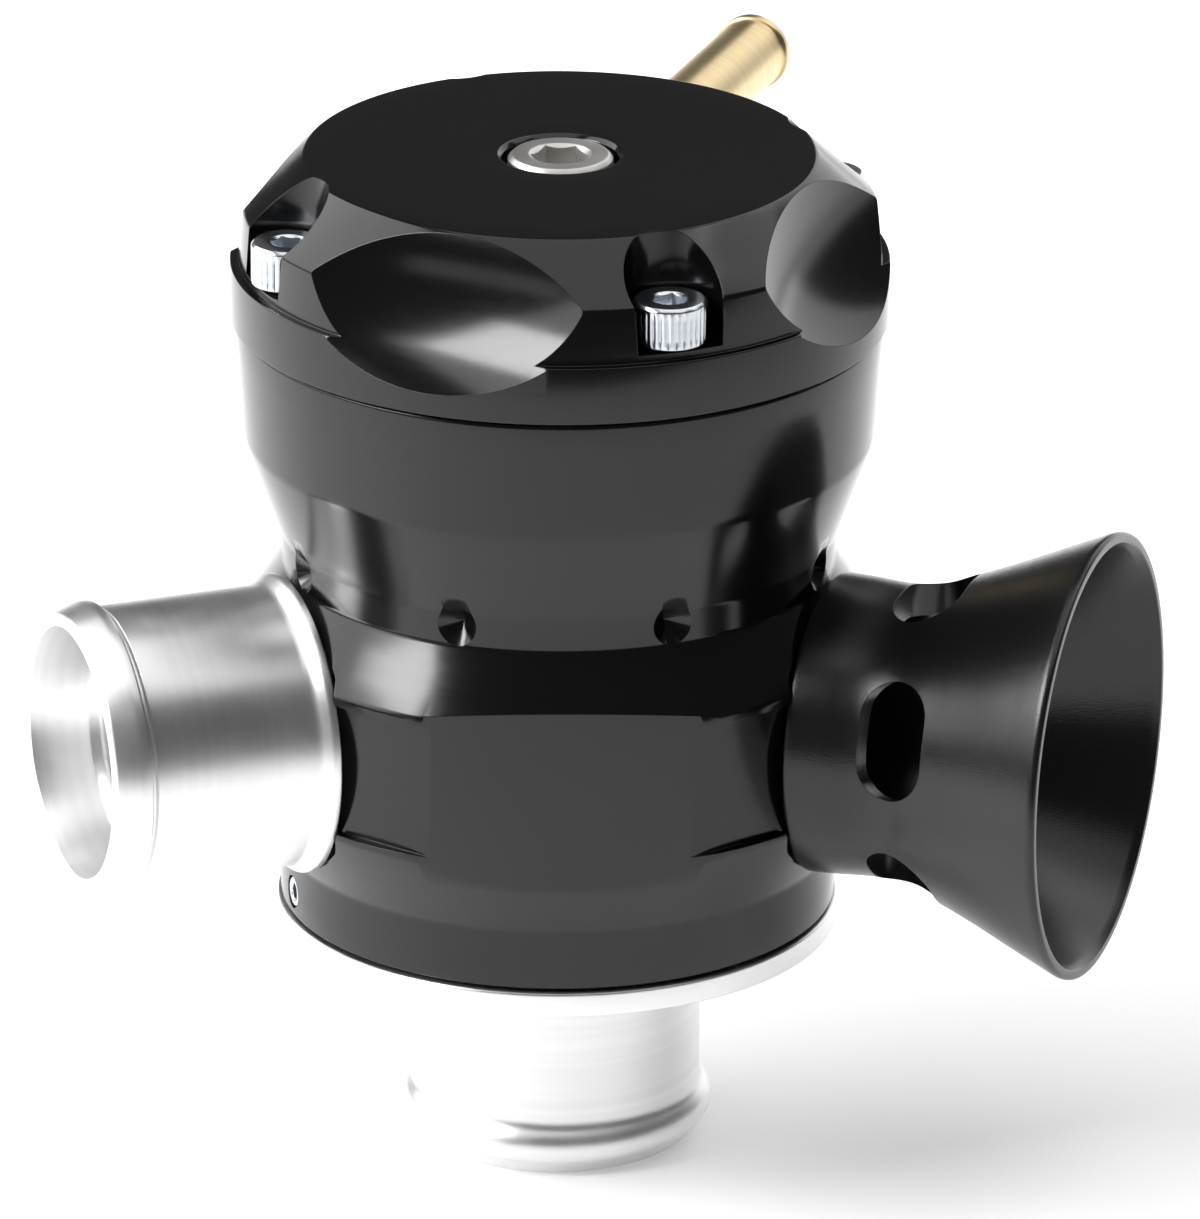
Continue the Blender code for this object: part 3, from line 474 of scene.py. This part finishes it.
capLine = ringProfile([
    (cap["faceRadius"], cap["top"], 0.25),
    (cap["rimRadius"], cap["rimHeight"], 0.3),
    (cap["sideRadius"], cap["stepTop"], 0),
    (cap["sideRadius"] + cap["sideFlare"], cap["skirtTop"], 0.08),
    (cap["skirtRadius"], cap["skirtTop"], 0.12),
    (cap["skirtRadius"], cap["lipBottom"], 0.12),
    (cap["lipRadius"], cap["lipBottom"], 0),
    (cap["lipRadius"], cap["bottom"], 0),
    (cap["spigotRadius"], cap["bottom"], 0),
    (cap["spigotRadius"], cap["spigotBottom"], 0.3),
    (cap["boreRadius"], cap["spigotBottom"], 0.3),
    (cap["boreRadius"], cap["roofBottom"], 0),
    (cap["screwHoleRadius"], cap["roofBottom"], 0),
    (cap["screwHoleRadius"], cap["screwPocketFloor"], 0),
    (cap["screwPocketRadius"], cap["screwPocketFloor"], 0),
    (cap["screwPocketRadius"], cap["top"] - cap["screwPocketBevel"], 0.1),
    (cap["screwPocketRadius"] + cap["screwPocketBevel"], cap["top"], 0.1),
])
capPiece = turnedPiece("capShell", capLine, cap["steps"])
carve(capPiece, scallopCutters() + pocketCutters())
finishPiece(capPiece, capMetal, "black_anodised", "housing", "cap")

body = dict(
    top=83.45, grooveRadius=29.6, shoulderTop=83.0, shoulderRadius=30.7, shoulderBottom=71.5,
    shoulderBottomRadius=29.9, waistTop=62.0, waistTopRadius=26.5, waistBottom=58.8,
    waistRadius=26.3, bellyTop=52.4, bellyRadius=30.3, bellyBottom=38.1, footTop=30.5,
    footRadius=26.6, bottom=24.75, plugSocketRadius=22.6, plugSocketTop=31.0, boreRadius=17.5,
    capSocketRadius=20.2, capSocketFloor=79.9, steps=288)
port = dict(faceRadius=14.65, spotFace=26.9, radius=12.7, shelf=19.5, throat=10.5, throatStart=5.0,
            outside=6.0, steps=160)
frontFace = dict(azimuth=1.0, radius=38.6, distance=29.4, spread=40.0, points=121, below=2.0)
sideFlat = dict(azimuths=(-36.0, 37.0), distance=29.3, height=13.0, halfWidth=14.0)
dimple = dict(count=8, azimuth=23.9, height=60.7, radius=2.0, proud=0.1, rise=2.0, tipRadius=0.15,
              tipDepth=0.1, steps=40)
grub = dict(
    count=2, azimuth=-72.0, height=27.1, radius=1.45, inner=22.55, chamfer=0.35, tipRadius=0.9,
    hexagon=1.5, hexDepth=1.6, socketRadius=0.85, socketBevel=0.2, recess=0.15, sunk=0.1, holeRadius=1.6,
    holeStart=20.0, holeSteps=40, steps=96)
farReach = body["bellyRadius"] + 10.0


def bodyCutters():
    cutters = []
    outside = body["bellyRadius"] + port["outside"]
    bores = [
        ("spotFace", port["faceRadius"], port["spotFace"]),
        ("portBore", port["radius"], port["shelf"]),
        ("portThroat", port["throat"], port["throatStart"])]
    for place in (outletPlace, trumpetPlace):
        for name, radius, start in bores:
            cutters.append(cylinderCutter(name, radius, start, outside, port["steps"], place))

    # The milled face is a shallow arc seen from above, and everything in front of it goes.
    radius, spread = frontFace["radius"], frontFace["spread"]
    behind = radius - frontFace["distance"]
    angle = np.radians(np.linspace(-spread, spread, frontFace["points"]))
    arc = np.column_stack([radius * np.sin(angle), behind - radius * np.cos(angle)])
    outline = np.concatenate([arc, [[arc[-1, 0], -farReach], [arc[0, 0], -farReach]]])[::-1]
    place = uprightFrame(frontFace["azimuth"], 0.0)
    below = body["bottom"] - frontFace["below"]
    cutters.append(prism("frontFaceCutter", outline, below, body["waistBottom"], place))

    wide, half = sideFlat["halfWidth"], sideFlat["height"] / 2
    outline = [(-wide, -half), (wide, -half), (wide, half), (-wide, half)]
    for azimuth in sideFlat["azimuths"]:
        place = axisFrame(azimuth, portHeight)
        cutters.append(prism("sideFlatCutter", outline, sideFlat["distance"], farReach, place))

    # Each dimple is the cone of a drill's point.
    surface = body["waistRadius"] + dimple["proud"]
    tip = surface - dimple["radius"]
    line = np.array([
        [0, surface + dimple["rise"]], [dimple["radius"] + dimple["rise"], surface + dimple["rise"]],
        [dimple["tipRadius"], tip + dimple["tipRadius"]], [0, tip + dimple["tipDepth"]]])
    for i in range(dimple["count"]):
        place = axisFrame(dimple["azimuth"] + i * 360 / dimple["count"], dimple["height"])
        cutters.append(turnedPiece("dimpleCutter", line, dimple["steps"], place))

    for i in range(grub["count"]):
        place = axisFrame(grub["azimuth"] + i * 360.0 / grub["count"], grub["height"])
        cutters.append(cylinderCutter("grubHoleCutter", grub["holeRadius"], grub["holeStart"], farReach,
                                      grub["holeSteps"], place))
    return cutters


bodyLine = ringProfile([
    (body["grooveRadius"], body["top"], 0),
    (body["grooveRadius"], body["shoulderTop"], 0),
    (body["shoulderRadius"], body["shoulderTop"], 0.45),
    (body["shoulderBottomRadius"], body["shoulderBottom"], 0.5),
    (body["waistTopRadius"], body["waistTop"], 0.3),
    (body["waistRadius"], body["waistBottom"], 0.3),
    (body["bellyRadius"], body["bellyTop"], 0.4),
    (body["bellyRadius"], body["bellyBottom"], 0.4),
    (body["footRadius"], body["footTop"], 0.4),
    (body["footRadius"], body["bottom"], 0.3),
    (body["plugSocketRadius"], body["bottom"], 0.2),
    (body["plugSocketRadius"], body["plugSocketTop"], 0),
    (body["boreRadius"], body["plugSocketTop"], 0),
    (body["boreRadius"], body["capSocketFloor"], 0),
    (body["capSocketRadius"], body["capSocketFloor"], 0),
    (body["capSocketRadius"], body["top"], 0.2),
])
bodyPiece = turnedPiece("bodyHousing", bodyLine, body["steps"])
carve(bodyPiece, bodyCutters())
finishPiece(bodyPiece, bodyMetal, "black_anodised", "housing", "body")

base = dict(
    seatTop=31.7, seatOuter=13.1, seatInner=12.5, ridgeRadius=13.6, plugTop=30.7, plugRadius=22.3,
    flangeTop=24.45, flangeBottom=22.1, flangeRadius=26.9, tubeRadius=13.8, neckHeight=5.1,
    beadRadius=14.95, beadTop=3.85, beadBottom=2.25, noseRadius=13.45, noseHeight=0.75,
    endOuter=13.1, endInner=11.7, bore=11.3, boreEdge=0.5, throatTop=30.7, steps=256)

baseLine = ringProfile([
    (base["seatOuter"], base["seatTop"], 0.1),
    (base["ridgeRadius"], base["plugTop"], 0),
    (base["plugRadius"], base["plugTop"], 0.35),
    (base["plugRadius"], base["flangeTop"], 0),
    (base["flangeRadius"], base["flangeTop"], 0.3),
    (base["flangeRadius"], base["flangeBottom"], 0.3),
    (base["tubeRadius"], base["flangeBottom"], 0.5),
    (base["tubeRadius"], base["neckHeight"], 0.6),
    (base["beadRadius"], base["beadTop"], 1.1),
    (base["beadRadius"], base["beadBottom"], 0.9),
    (base["noseRadius"], base["noseHeight"], 0.4),
    (base["endOuter"], 0.0, 0.3),
    (base["endInner"], 0.0, 0.2),
    (base["bore"], base["boreEdge"], 0.2),
    (base["bore"], base["throatTop"], 0.3),
    (base["seatInner"], base["seatTop"], 0.1),
])
basePiece = smoothed(turnedPiece("inletFlange", baseLine, base["steps"]))
finishPiece(basePiece, baseMetal, "bare_aluminium", "housing", "inlet_base")

collar = dict(radius=14.35, back=27.2, plugRadius=12.4, plugInner=19.8, throat=10.5)
outlet = dict(
    end=49.3, mouth=12.05, mouthEdge=0.15, funnel=11.05, funnelDepth=5.6, funnelLead=1.0, nose=13.25,
    beadRadius=14.1, beadStart=45.8, beadTop=46.65, beadEdge=0.15, grooveRadius=13.15,
    grooveWidth=0.5, grooveEdge=0.2, tubeRadius=13.45, tubeStart=29.1, collarEnd=27.9, steps=256)
grooveStart = outlet["beadStart"] - outlet["grooveWidth"]
funnelStart = outlet["end"] - outlet["funnelDepth"]

outletLine = ringProfile([
    (outlet["mouth"], outlet["end"], 0.15),
    (outlet["nose"], outlet["end"] - outlet["mouthEdge"], 0.25),
    (outlet["beadRadius"], outlet["beadTop"], 0.25),
    (outlet["beadRadius"], outlet["beadStart"], 0.2),
    (outlet["grooveRadius"], outlet["beadStart"] - outlet["beadEdge"], 0),
    (outlet["grooveRadius"], grooveStart, 0),
    (outlet["tubeRadius"], grooveStart - outlet["grooveEdge"], 0.1),
    (outlet["tubeRadius"], outlet["tubeStart"], 0.5),
    (collar["radius"], outlet["collarEnd"], 0.25),
    (collar["radius"], collar["back"], 0.15),
    (collar["plugRadius"], collar["back"], 0),
    (collar["plugRadius"], collar["plugInner"], 0.3),
    (collar["throat"], collar["plugInner"], 0.2),
    (collar["throat"], funnelStart - outlet["funnelLead"], 0.3),
    (outlet["funnel"], funnelStart, 0.2),
])
outletPiece = smoothed(turnedPiece("recirculationSpigot", outletLine, outlet["steps"], outletPlace))
finishPiece(outletPiece, outletMetal, "bare_aluminium", "housing", "recirculation_outlet")

# The bell's wall is drawn from its rim inwards on the outside, and from its throat out on the inside.
trumpet = dict(
    end=54.1, rimInner=20.4, rimOuter=21.25, rimBack=53.4, rimBackRadius=19.9,
    slotCount=5, slotCentre=37.75, slotWidth=6.8, slotLength=11.3, slotInner=4.0, slotOuter=26.0,
    slotBends=25, steps=256,
    outside=[(21.4, 53.55), (19.2, 48.6), (17.65, 45.2), (16.3, 42.0), (15.35, 39.5), (14.5, 37.3),
             (14.15, 35.5), (14.05, 34.0), (14.1, 32.5), (14.25, 30.5), (14.33, 28.5)],
    inside=[(10.6, 32.5), (10.9, 34.5), (11.6, 36.6), (12.8, 38.8), (14.2, 41.6), (15.9, 45.0),
            (17.9, 49.2)])


def slotOutline():
    # A slot with full round ends, long in X.
    radius = trumpet["slotWidth"] / 2
    reach = trumpet["slotLength"] / 2 - radius
    angle = np.linspace(-np.pi / 2, np.pi / 2, trumpet["slotBends"])
    right = np.column_stack([reach + radius * np.cos(angle), radius * np.sin(angle)])
    return np.concatenate([right, -right])


def slotCutters():
    # Each slot's outline is laid across the trumpet's axis and carried outwards through the wall.
    turn, start = trumpetPlace
    inner, outer = trumpet["slotInner"], trumpet["slotOuter"]
    cutters = []
    for i in range(trumpet["slotCount"]):
        around = math.radians(90.0 + i * 360 / trumpet["slotCount"])
        outward = turn @ np.array([math.cos(around), math.sin(around), 0.0])
        along = turn[:, 2]
        across = np.cross(along, outward)
        place = (np.stack([across, along, outward], axis=1), start + along * trumpet["slotCentre"])
        cutters.append(prism("slotCutter", slotOutline(), inner, outer, place))
    return cutters


trumpetLine = ringProfile([
    (trumpet["rimInner"], trumpet["end"], 0.1),
    (trumpet["rimOuter"], trumpet["end"], 0.25),
    (*trumpet["outside"][0], 0.5),
    *[(radius, height, 1.2) for radius, height in trumpet["outside"][1:]],
    (collar["radius"], collar["back"], 0.3),
    (collar["plugRadius"], collar["back"], 0),
    (collar["plugRadius"], collar["plugInner"], 0.3),
    (collar["throat"], collar["plugInner"], 0.2),
    *[(radius, height, 1.0) for radius, height in trumpet["inside"]],
    (trumpet["rimBackRadius"], trumpet["rimBack"], 0.2),
])
trumpetPiece = turnedPiece("trumpetBell", trumpetLine, trumpet["steps"], trumpetPlace)
carve(trumpetPiece, slotCutters())
finishPiece(trumpetPiece, trumpetMetal, "black_anodised", "housing", "trumpet")

nipple = dict(radius=3.5, beadRadius=3.78, bore=2.2, boreBevel=0.2, inner=15.5, groove=54.2,
              beadStart=54.4, end=55.6, steps=128)

nippleLine = ringProfile([
    (nipple["bore"] + nipple["boreBevel"], nipple["end"], 0.1),
    (nipple["beadRadius"], nipple["end"], 0.5),
    (nipple["beadRadius"], nipple["beadStart"], 0.2),
    (nipple["radius"], nipple["groove"], 0.1),
    (nipple["radius"], nipple["inner"], 0.3),
    (nipple["bore"], nipple["inner"], 0),
    (nipple["bore"], nipple["end"] - nipple["boreBevel"], 0.1),
])
nipplePiece = smoothed(turnedPiece("pressureNipple", nippleLine, nipple["steps"], nipplePlace))
finishPiece(nipplePiece, brassMetal, "brass", "housing", "vacuum_nipple")

capScrew = dict(
    seat=89.75, headRadius=3.5, headHeight=4.0, chamfer=0.3, hexagon=3.0, hexDepth=2.0, radius=1.95,
    end=73.75, knurls=30, knurlDepth=0.13, knurlTop=0.55, knurlBottom=0.15, knurlWidth=0.7, steps=480)
adjuster = dict(seat=93.3, headRadius=5.0, headHeight=5.7, chamfer=0.45, hexagon=5.0, hexDepth=3.0,
                radius=2.95, end=76.5, steps=192)
# The sunk rim round each hexagon, and the tapered tip of the thread.
socket = dict(room=0.12, recess=0.35, bevel=0.5, tipLength=0.4, tipRadius=0.6, above=1.0, step=0.5)


def socketScrew(name, size, place, ripple=None):
    top = size["seat"] + size["headHeight"]
    socketRim = size["hexagon"] / math.sqrt(3) + socket["room"]
    line = axisProfile([
        (0.0, top - socket["recess"], 0),
        (socketRim - socket["bevel"], top - socket["recess"], 0),
        (socketRim, top, 0.06),
        (size["headRadius"] - size["chamfer"], top, 0.1),
        (size["headRadius"], top - size["chamfer"], 0.1),
        (size["headRadius"], size["seat"], 0.1),
        (size["radius"], size["seat"], 0.1),
        (size["radius"], size["end"] + socket["tipLength"] * size["radius"], 0.1),
        (socket["tipRadius"] * size["radius"], size["end"], 0.1),
        (0.0, size["end"], 0),
    ], socket["step"])
    screw = turnedPiece(name, line, size["steps"], place, ripple)
    outline = hexOutline(size["hexagon"])
    hexCutter = prism("hexCutter", outline, top - size["hexDepth"], top + socket["above"], place)
    return carve(screw, [hexCutter])


def knurl(angle, height, radius):
    # Fine grooves round the side of a cap screw's head: the depth times one less the rectified sine
    # of the angle, raised to a power that sets how wide the ribs are.
    top = capScrew["seat"] + capScrew["headHeight"] - capScrew["knurlTop"]
    bottom = capScrew["seat"] + capScrew["knurlBottom"]
    side = (radius > capScrew["headRadius"] - 0.02) & (height < top) & (height > bottom)
    wave = np.abs(np.sin(angle * capScrew["knurls"] / 2)) ** capScrew["knurlWidth"]
    return np.where(side, -capScrew["knurlDepth"] * (1 - wave), 0.0)


for i in range(pocket["count"]):
    place = uprightFrame(pocket["azimuth"] + i * 360.0 / pocket["count"], pocket["screwCircle"])
    screwMetal = metalMaterial("capScrewZinc%d" % (i + 1), place, zincLook)
    screw = socketScrew("capScrew%d" % (i + 1), capScrew, place, knurl)
    finishPiece(screw, screwMetal, "zinc_steel", "housing", "cap_screw_%d" % (i + 1))

adjusterPiece = socketScrew("adjusterScrew", adjuster, upright)
finishPiece(adjusterPiece, stainlessMetal, "stainless", "adjuster", "adjuster_screw")

grubOuter = body["footRadius"] - grub["sunk"]
grubLine = roundedLine([
    (0.0, grubOuter - grub["recess"], 0),
    (grub["socketRadius"], grubOuter - grub["recess"], 0),
    (grub["socketRadius"] + grub["socketBevel"], grubOuter, 0.05),
    (grub["radius"], grubOuter, 0.2),
    (grub["radius"], grub["inner"] + grub["chamfer"], 0.2),
    (grub["tipRadius"], grub["inner"], 0.1),
    (0.0, grub["inner"], 0),
])
for i in range(grub["count"]):
    place = axisFrame(grub["azimuth"] + i * 360.0 / grub["count"], grub["height"])
    grubMetal = metalMaterial("grubSteel%d" % (i + 1), place, zincLook)
    screw = turnedPiece("grubScrew%d" % (i + 1), grubLine, grub["steps"], place)
    hexCutter = prism("grubHexCutter", hexOutline(grub["hexagon"]), grubOuter - grub["hexDepth"],
                      grubOuter + socket["above"], place)
    carve(screw, [hexCutter])
    finishPiece(screw, grubMetal, "stainless", "housing", "grub_screw_%d" % (i + 1))

# The piston shows through the side outlets, so it is turned again with a round wall.
piston = dict(
    top=60.0, topBevel=0.4, bottom=32.0, bottomBevel=0.5, radius=17.42, insideRadius=15.42,
    floorTop=35.4, floorRise=1.2, springSeat=11.9, ringTop=56.0, ringBottom=53.6, ringRoot=16.42,
    faceRadius=12.0, recess=1.0, step=2.0, steps=192)

pistonLine = axisProfile([
    (0.0, piston["floorTop"], 0),
    (piston["springSeat"], piston["floorTop"], 0.2),
    (piston["insideRadius"], piston["floorTop"] + piston["floorRise"], 0.3),
    (piston["insideRadius"], piston["top"], 0.2),
    (piston["radius"] - piston["topBevel"], piston["top"], 0.1),
    (piston["radius"], piston["top"] - piston["topBevel"], 0.1),
    (piston["radius"], piston["ringTop"], 0),
    (piston["ringRoot"], piston["ringTop"], 0),
    (piston["ringRoot"], piston["ringBottom"], 0),
    (piston["radius"], piston["ringBottom"], 0),
    (piston["radius"], piston["bottom"] + piston["bottomBevel"], 0.1),
    (piston["radius"] - piston["bottomBevel"], piston["bottom"], 0.1),
    (piston["faceRadius"], piston["bottom"], 0.1),
    (piston["faceRadius"] - piston["recess"], piston["bottom"] + piston["recess"], 0.1),
    (0.0, piston["bottom"] + piston["recess"], 0),
], piston["step"])
pistonPiece = smoothed(turnedPiece("valvePiston", pistonLine, piston["steps"]))
pistonMetal = metalMaterial("pistonAluminium", upright, aluminiumLook)
finishPiece(pistonPiece, pistonMetal, "bare_aluminium", "valve_piston", "piston")

# The valve spring, a wire wound round the axis with a closed turn at each end. Its lower turns shorten
# as the piston lifts and its upper turns as the seat is wound down, so it is wound in two lengths.
spring = dict(radius=10.2, wire=1.1, turns=8, closedRise=2.35, bottom=36.58, top=80.62, steps=40, sides=20)
springLengths = [
    dict(name="valveSpringLower", first=0, last=5.5, lower="valve_piston", upper="housing",
         bendStart=38.9, bendEnd=67.2),
    dict(name="valveSpringUpper", first=5.5, last=8, lower="housing", upper="seat",
         bendStart=69.7, bendEnd=78.0)]


def coil(name, first, last):
    # The path is a circle whose height grows with the turn, and the wire is a ring square to it.
    # Flat faces close the two ends.
    sides = spring["sides"]
    turn = np.linspace(first, last, int(round((last - first) * spring["steps"])) + 1)
    height = np.interp(turn, [0, 1, spring["turns"] - 1, spring["turns"]], [
        spring["bottom"], spring["bottom"] + spring["closedRise"],
        spring["top"] - spring["closedRise"], spring["top"]])
    angle = 2 * np.pi * turn
    outward = np.column_stack([np.cos(angle), np.sin(angle), np.zeros(len(turn))])
    centre = outward * spring["radius"] + np.column_stack([np.zeros((len(turn), 2)), height])
    along = np.gradient(centre, axis=0)
    along /= np.linalg.norm(along, axis=1, keepdims=True)
    across = np.cross(along, outward)
    around = 2 * np.pi * np.arange(sides) / sides
    ring = outward[:, None] * np.cos(around)[:, None] + across[:, None] * np.sin(around)[:, None]
    points = (centre[:, None] + spring["wire"] * ring).reshape(-1, 3)
    row = np.arange(len(turn) - 1)[:, None] * sides
    here = np.arange(sides)
    beside = np.roll(here, -1)
    walls = np.stack([row + here, row + beside, row + beside + sides, row + here + sides], axis=-1)
    lastRing = here + (len(turn) - 1) * sides
    faces = walls.reshape(-1, 4).tolist() + [here[::-1].tolist(), lastRing.tolist()]
    return makePiece(name, placed(points, None), faces)


springMetal = metalMaterial("springSteel", upright, stainlessLook)
for length in springLengths:
    wound = smoothed(coil(length["name"], length["first"], length["last"]))
    wound.data.materials.append(springMetal)
    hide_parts("valve_spring")
    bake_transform(wound)
    print(length["name"], "is wound, with", len(wound.data.polygons), "faces")

# The other inner pieces keep their CAD shape and get the same metals.
innerLooks = {"bare_aluminium": aluminiumLook, "spring_steel": stainlessLook, "stainless": stainlessLook}
for name, node in frame["nodes"].items():
    if node.hide_render:
        continue
    slotName = next(s["material_slot"] for s in frame["record"]["subparts"] if s["node"] == name)
    if slotName in innerLooks:
        node.data.materials.clear()
        node.data.materials.append(metalMaterial(name + "Finish", upright, innerLooks[slotName]))
print("The inner pieces have their metals")

# The paper ends in front of the valve, and behind it runs on out of sight. Sizes are metres.
table = dict(halfWidth=3.0, front=-0.3, back=3.0, white=0.94, roughness=0.6, glow=0.24, farGlow=0.8,
             farFrom=0.35)
corners = np.array([
    [-table["halfWidth"], table["front"], 0], [table["halfWidth"], table["front"], 0],
    [table["halfWidth"], table["back"], 0], [-table["halfWidth"], table["back"], 0]])
floor = makePiece("tableTop", corners, [[0, 1, 2, 3]])
floorMaterial, tree, shader = newMaterial("whiteTable")
shader.inputs["Base Color"].default_value = (table["white"], table["white"], table["white"], 1)
shader.inputs["Roughness"].default_value = table["roughness"]
# A faint glow keeps the paper white where it is seen or mirrored, and lights nothing.
rays = tree.nodes.new("ShaderNodeLightPath")
seen = mathNode(tree, "MAXIMUM", rays.outputs["Is Camera Ray"], rays.outputs["Is Glossy Ray"])
seen = mathNode(tree, "MAXIMUM", seen, rays.outputs["Is Transmission Ray"])
shader.inputs["Emission Color"].default_value = (1, 1, 1, 1)
coordinate = tree.nodes.new("ShaderNodeTexCoord")
separate = tree.nodes.new("ShaderNodeSeparateXYZ")
link(tree, coordinate.outputs["Object"], separate.inputs[0])
glow = rangeNode(tree, separate.outputs["Y"], 0.0, table["farFrom"], table["glow"], table["farGlow"])
link(tree, mathNode(tree, "MULTIPLY", seen, glow), shader.inputs["Emission Strength"])
floor.data.materials.append(floorMaterial)
print("The table is laid")

# The soft boxes stand round the valve and face the aim, a point in its belly. Sizes are metres.
aim = Vector((0.0, 0.0, 0.05))
lamps = [
    dict(name="keyBox", azimuth=-97.0, elevation=35.0, distance=1.05, width=1.5, height=0.98, radiance=2.6),
    dict(name="hotBox", azimuth=-71.0, elevation=38.5, distance=1.0, width=0.5, height=0.34, radiance=12.5),
    dict(name="lowBox", azimuth=-50.0, elevation=8.0, distance=1.1, width=0.42, height=0.16, radiance=1.0),
    dict(name="topBox", azimuth=90.0, elevation=84.0, distance=0.95, width=0.95, height=0.95, radiance=1.2),
    dict(name="rearBox", azimuth=150.0, elevation=25.0, distance=1.1, width=0.72, height=1.0, radiance=1.2),
    dict(name="highBox", azimuth=112.0, elevation=50.0, distance=1.1, width=0.55, height=0.45, radiance=1.3),
]


def softbox(box):
    # The power is the radiance times pi times the box's area.
    light = bpy.data.lights.new(box["name"], "AREA")
    light.shape = "RECTANGLE"
    light.size = box["width"]
    light.size_y = box["height"]
    light.energy = box["radiance"] * math.pi * box["width"] * box["height"]
    lamp = bpy.data.objects.new(box["name"], light)
    bpy.context.scene.collection.objects.link(lamp)
    around, up = math.radians(box["azimuth"]), math.radians(box["elevation"])
    outward = Vector((math.sin(around) * math.cos(up), -math.cos(around) * math.cos(up), math.sin(up)))
    lamp.location = aim + outward * box["distance"]
    lamp.rotation_euler = (-outward).to_track_quat("-Z", "Y").to_euler()


for box in lamps:
    softbox(box)
print(len(lamps), "soft boxes are set")

# White runs on past the table's edge, and metal shows it up to the horizon behind the valve.
studio = dict(shade=(0.08, 0.08, 0.082), horizon=0.06, behindFrom=-0.3, behindTo=0.1)
world = bpy.data.worlds.new("studio")
bpy.context.scene.world = world
world.use_nodes = True
tree = world.node_tree
background = tree.nodes["Background"]
background.inputs["Color"].default_value = (*studio["shade"], 1)
white = tree.nodes.new("ShaderNodeBackground")
white.inputs["Color"].default_value = (1, 1, 1, 1)
coordinate = tree.nodes.new("ShaderNodeTexCoord")
separate = tree.nodes.new("ShaderNodeSeparateXYZ")
link(tree, coordinate.outputs["Generated"], separate.inputs[0])
low = rangeNode(tree, separate.outputs["Z"], 0.0, studio["horizon"], 1.0, 0.0)
behind = rangeNode(tree, separate.outputs["Y"], studio["behindFrom"], studio["behindTo"], 0.0, 1.0)
rays = tree.nodes.new("ShaderNodeLightPath")
mirrored = mathNode(tree, "MAXIMUM", rays.outputs["Is Glossy Ray"], rays.outputs["Is Transmission Ray"])
mirrored = mathNode(tree, "MULTIPLY", mirrored, mathNode(tree, "MULTIPLY", low, behind))
shown = mathNode(tree, "MAXIMUM", rays.outputs["Is Camera Ray"], mirrored)
mixer = tree.nodes.new("ShaderNodeMixShader")
link(tree, shown, mixer.inputs[0])
link(tree, background.outputs[0], mixer.inputs[1])
link(tree, white.outputs[0], mixer.inputs[2])
link(tree, mixer.outputs[0], tree.nodes["World Output"].inputs[0])

# Metres and radians, with the focal length and the picture's height in pixels of the photograph.
eye = dict(distance=1.152, height=0.500, yaw=0.00342706, pitch=0.370179, roll=0.00546624, focal=12949.2,
           pictureHeight=1219, sensor=36.0, nearest=0.1)


def makeCamera():
    # The direction turns by the yaw and dips by the pitch, and the picture rolls about it.
    yaw, pitch, roll = eye["yaw"], eye["pitch"], eye["roll"]
    forward = Vector((math.sin(yaw) * math.cos(pitch), math.cos(yaw) * math.cos(pitch), -math.sin(pitch)))
    level = Vector((math.cos(yaw), -math.sin(yaw), 0.0))
    above = level.cross(forward)
    right = level * math.cos(roll) + above * math.sin(roll)
    up = above * math.cos(roll) - level * math.sin(roll)
    lens = bpy.data.cameras.new("photoCamera")
    lens.sensor_width = eye["sensor"]
    lens.lens = eye["focal"] * eye["sensor"] / eye["pictureHeight"]
    lens.clip_start = eye["nearest"]
    camera = bpy.data.objects.new("photoCamera", lens)
    bpy.context.scene.collection.objects.link(camera)
    turn = Matrix((right, up, -forward)).transposed().to_4x4()
    camera.matrix_world = Matrix.Translation((0.0, -eye["distance"], eye["height"])) @ turn
    bpy.context.scene.camera = camera


makeCamera()
bpy.context.scene.view_settings.view_transform = "Standard"
print("The camera is set")
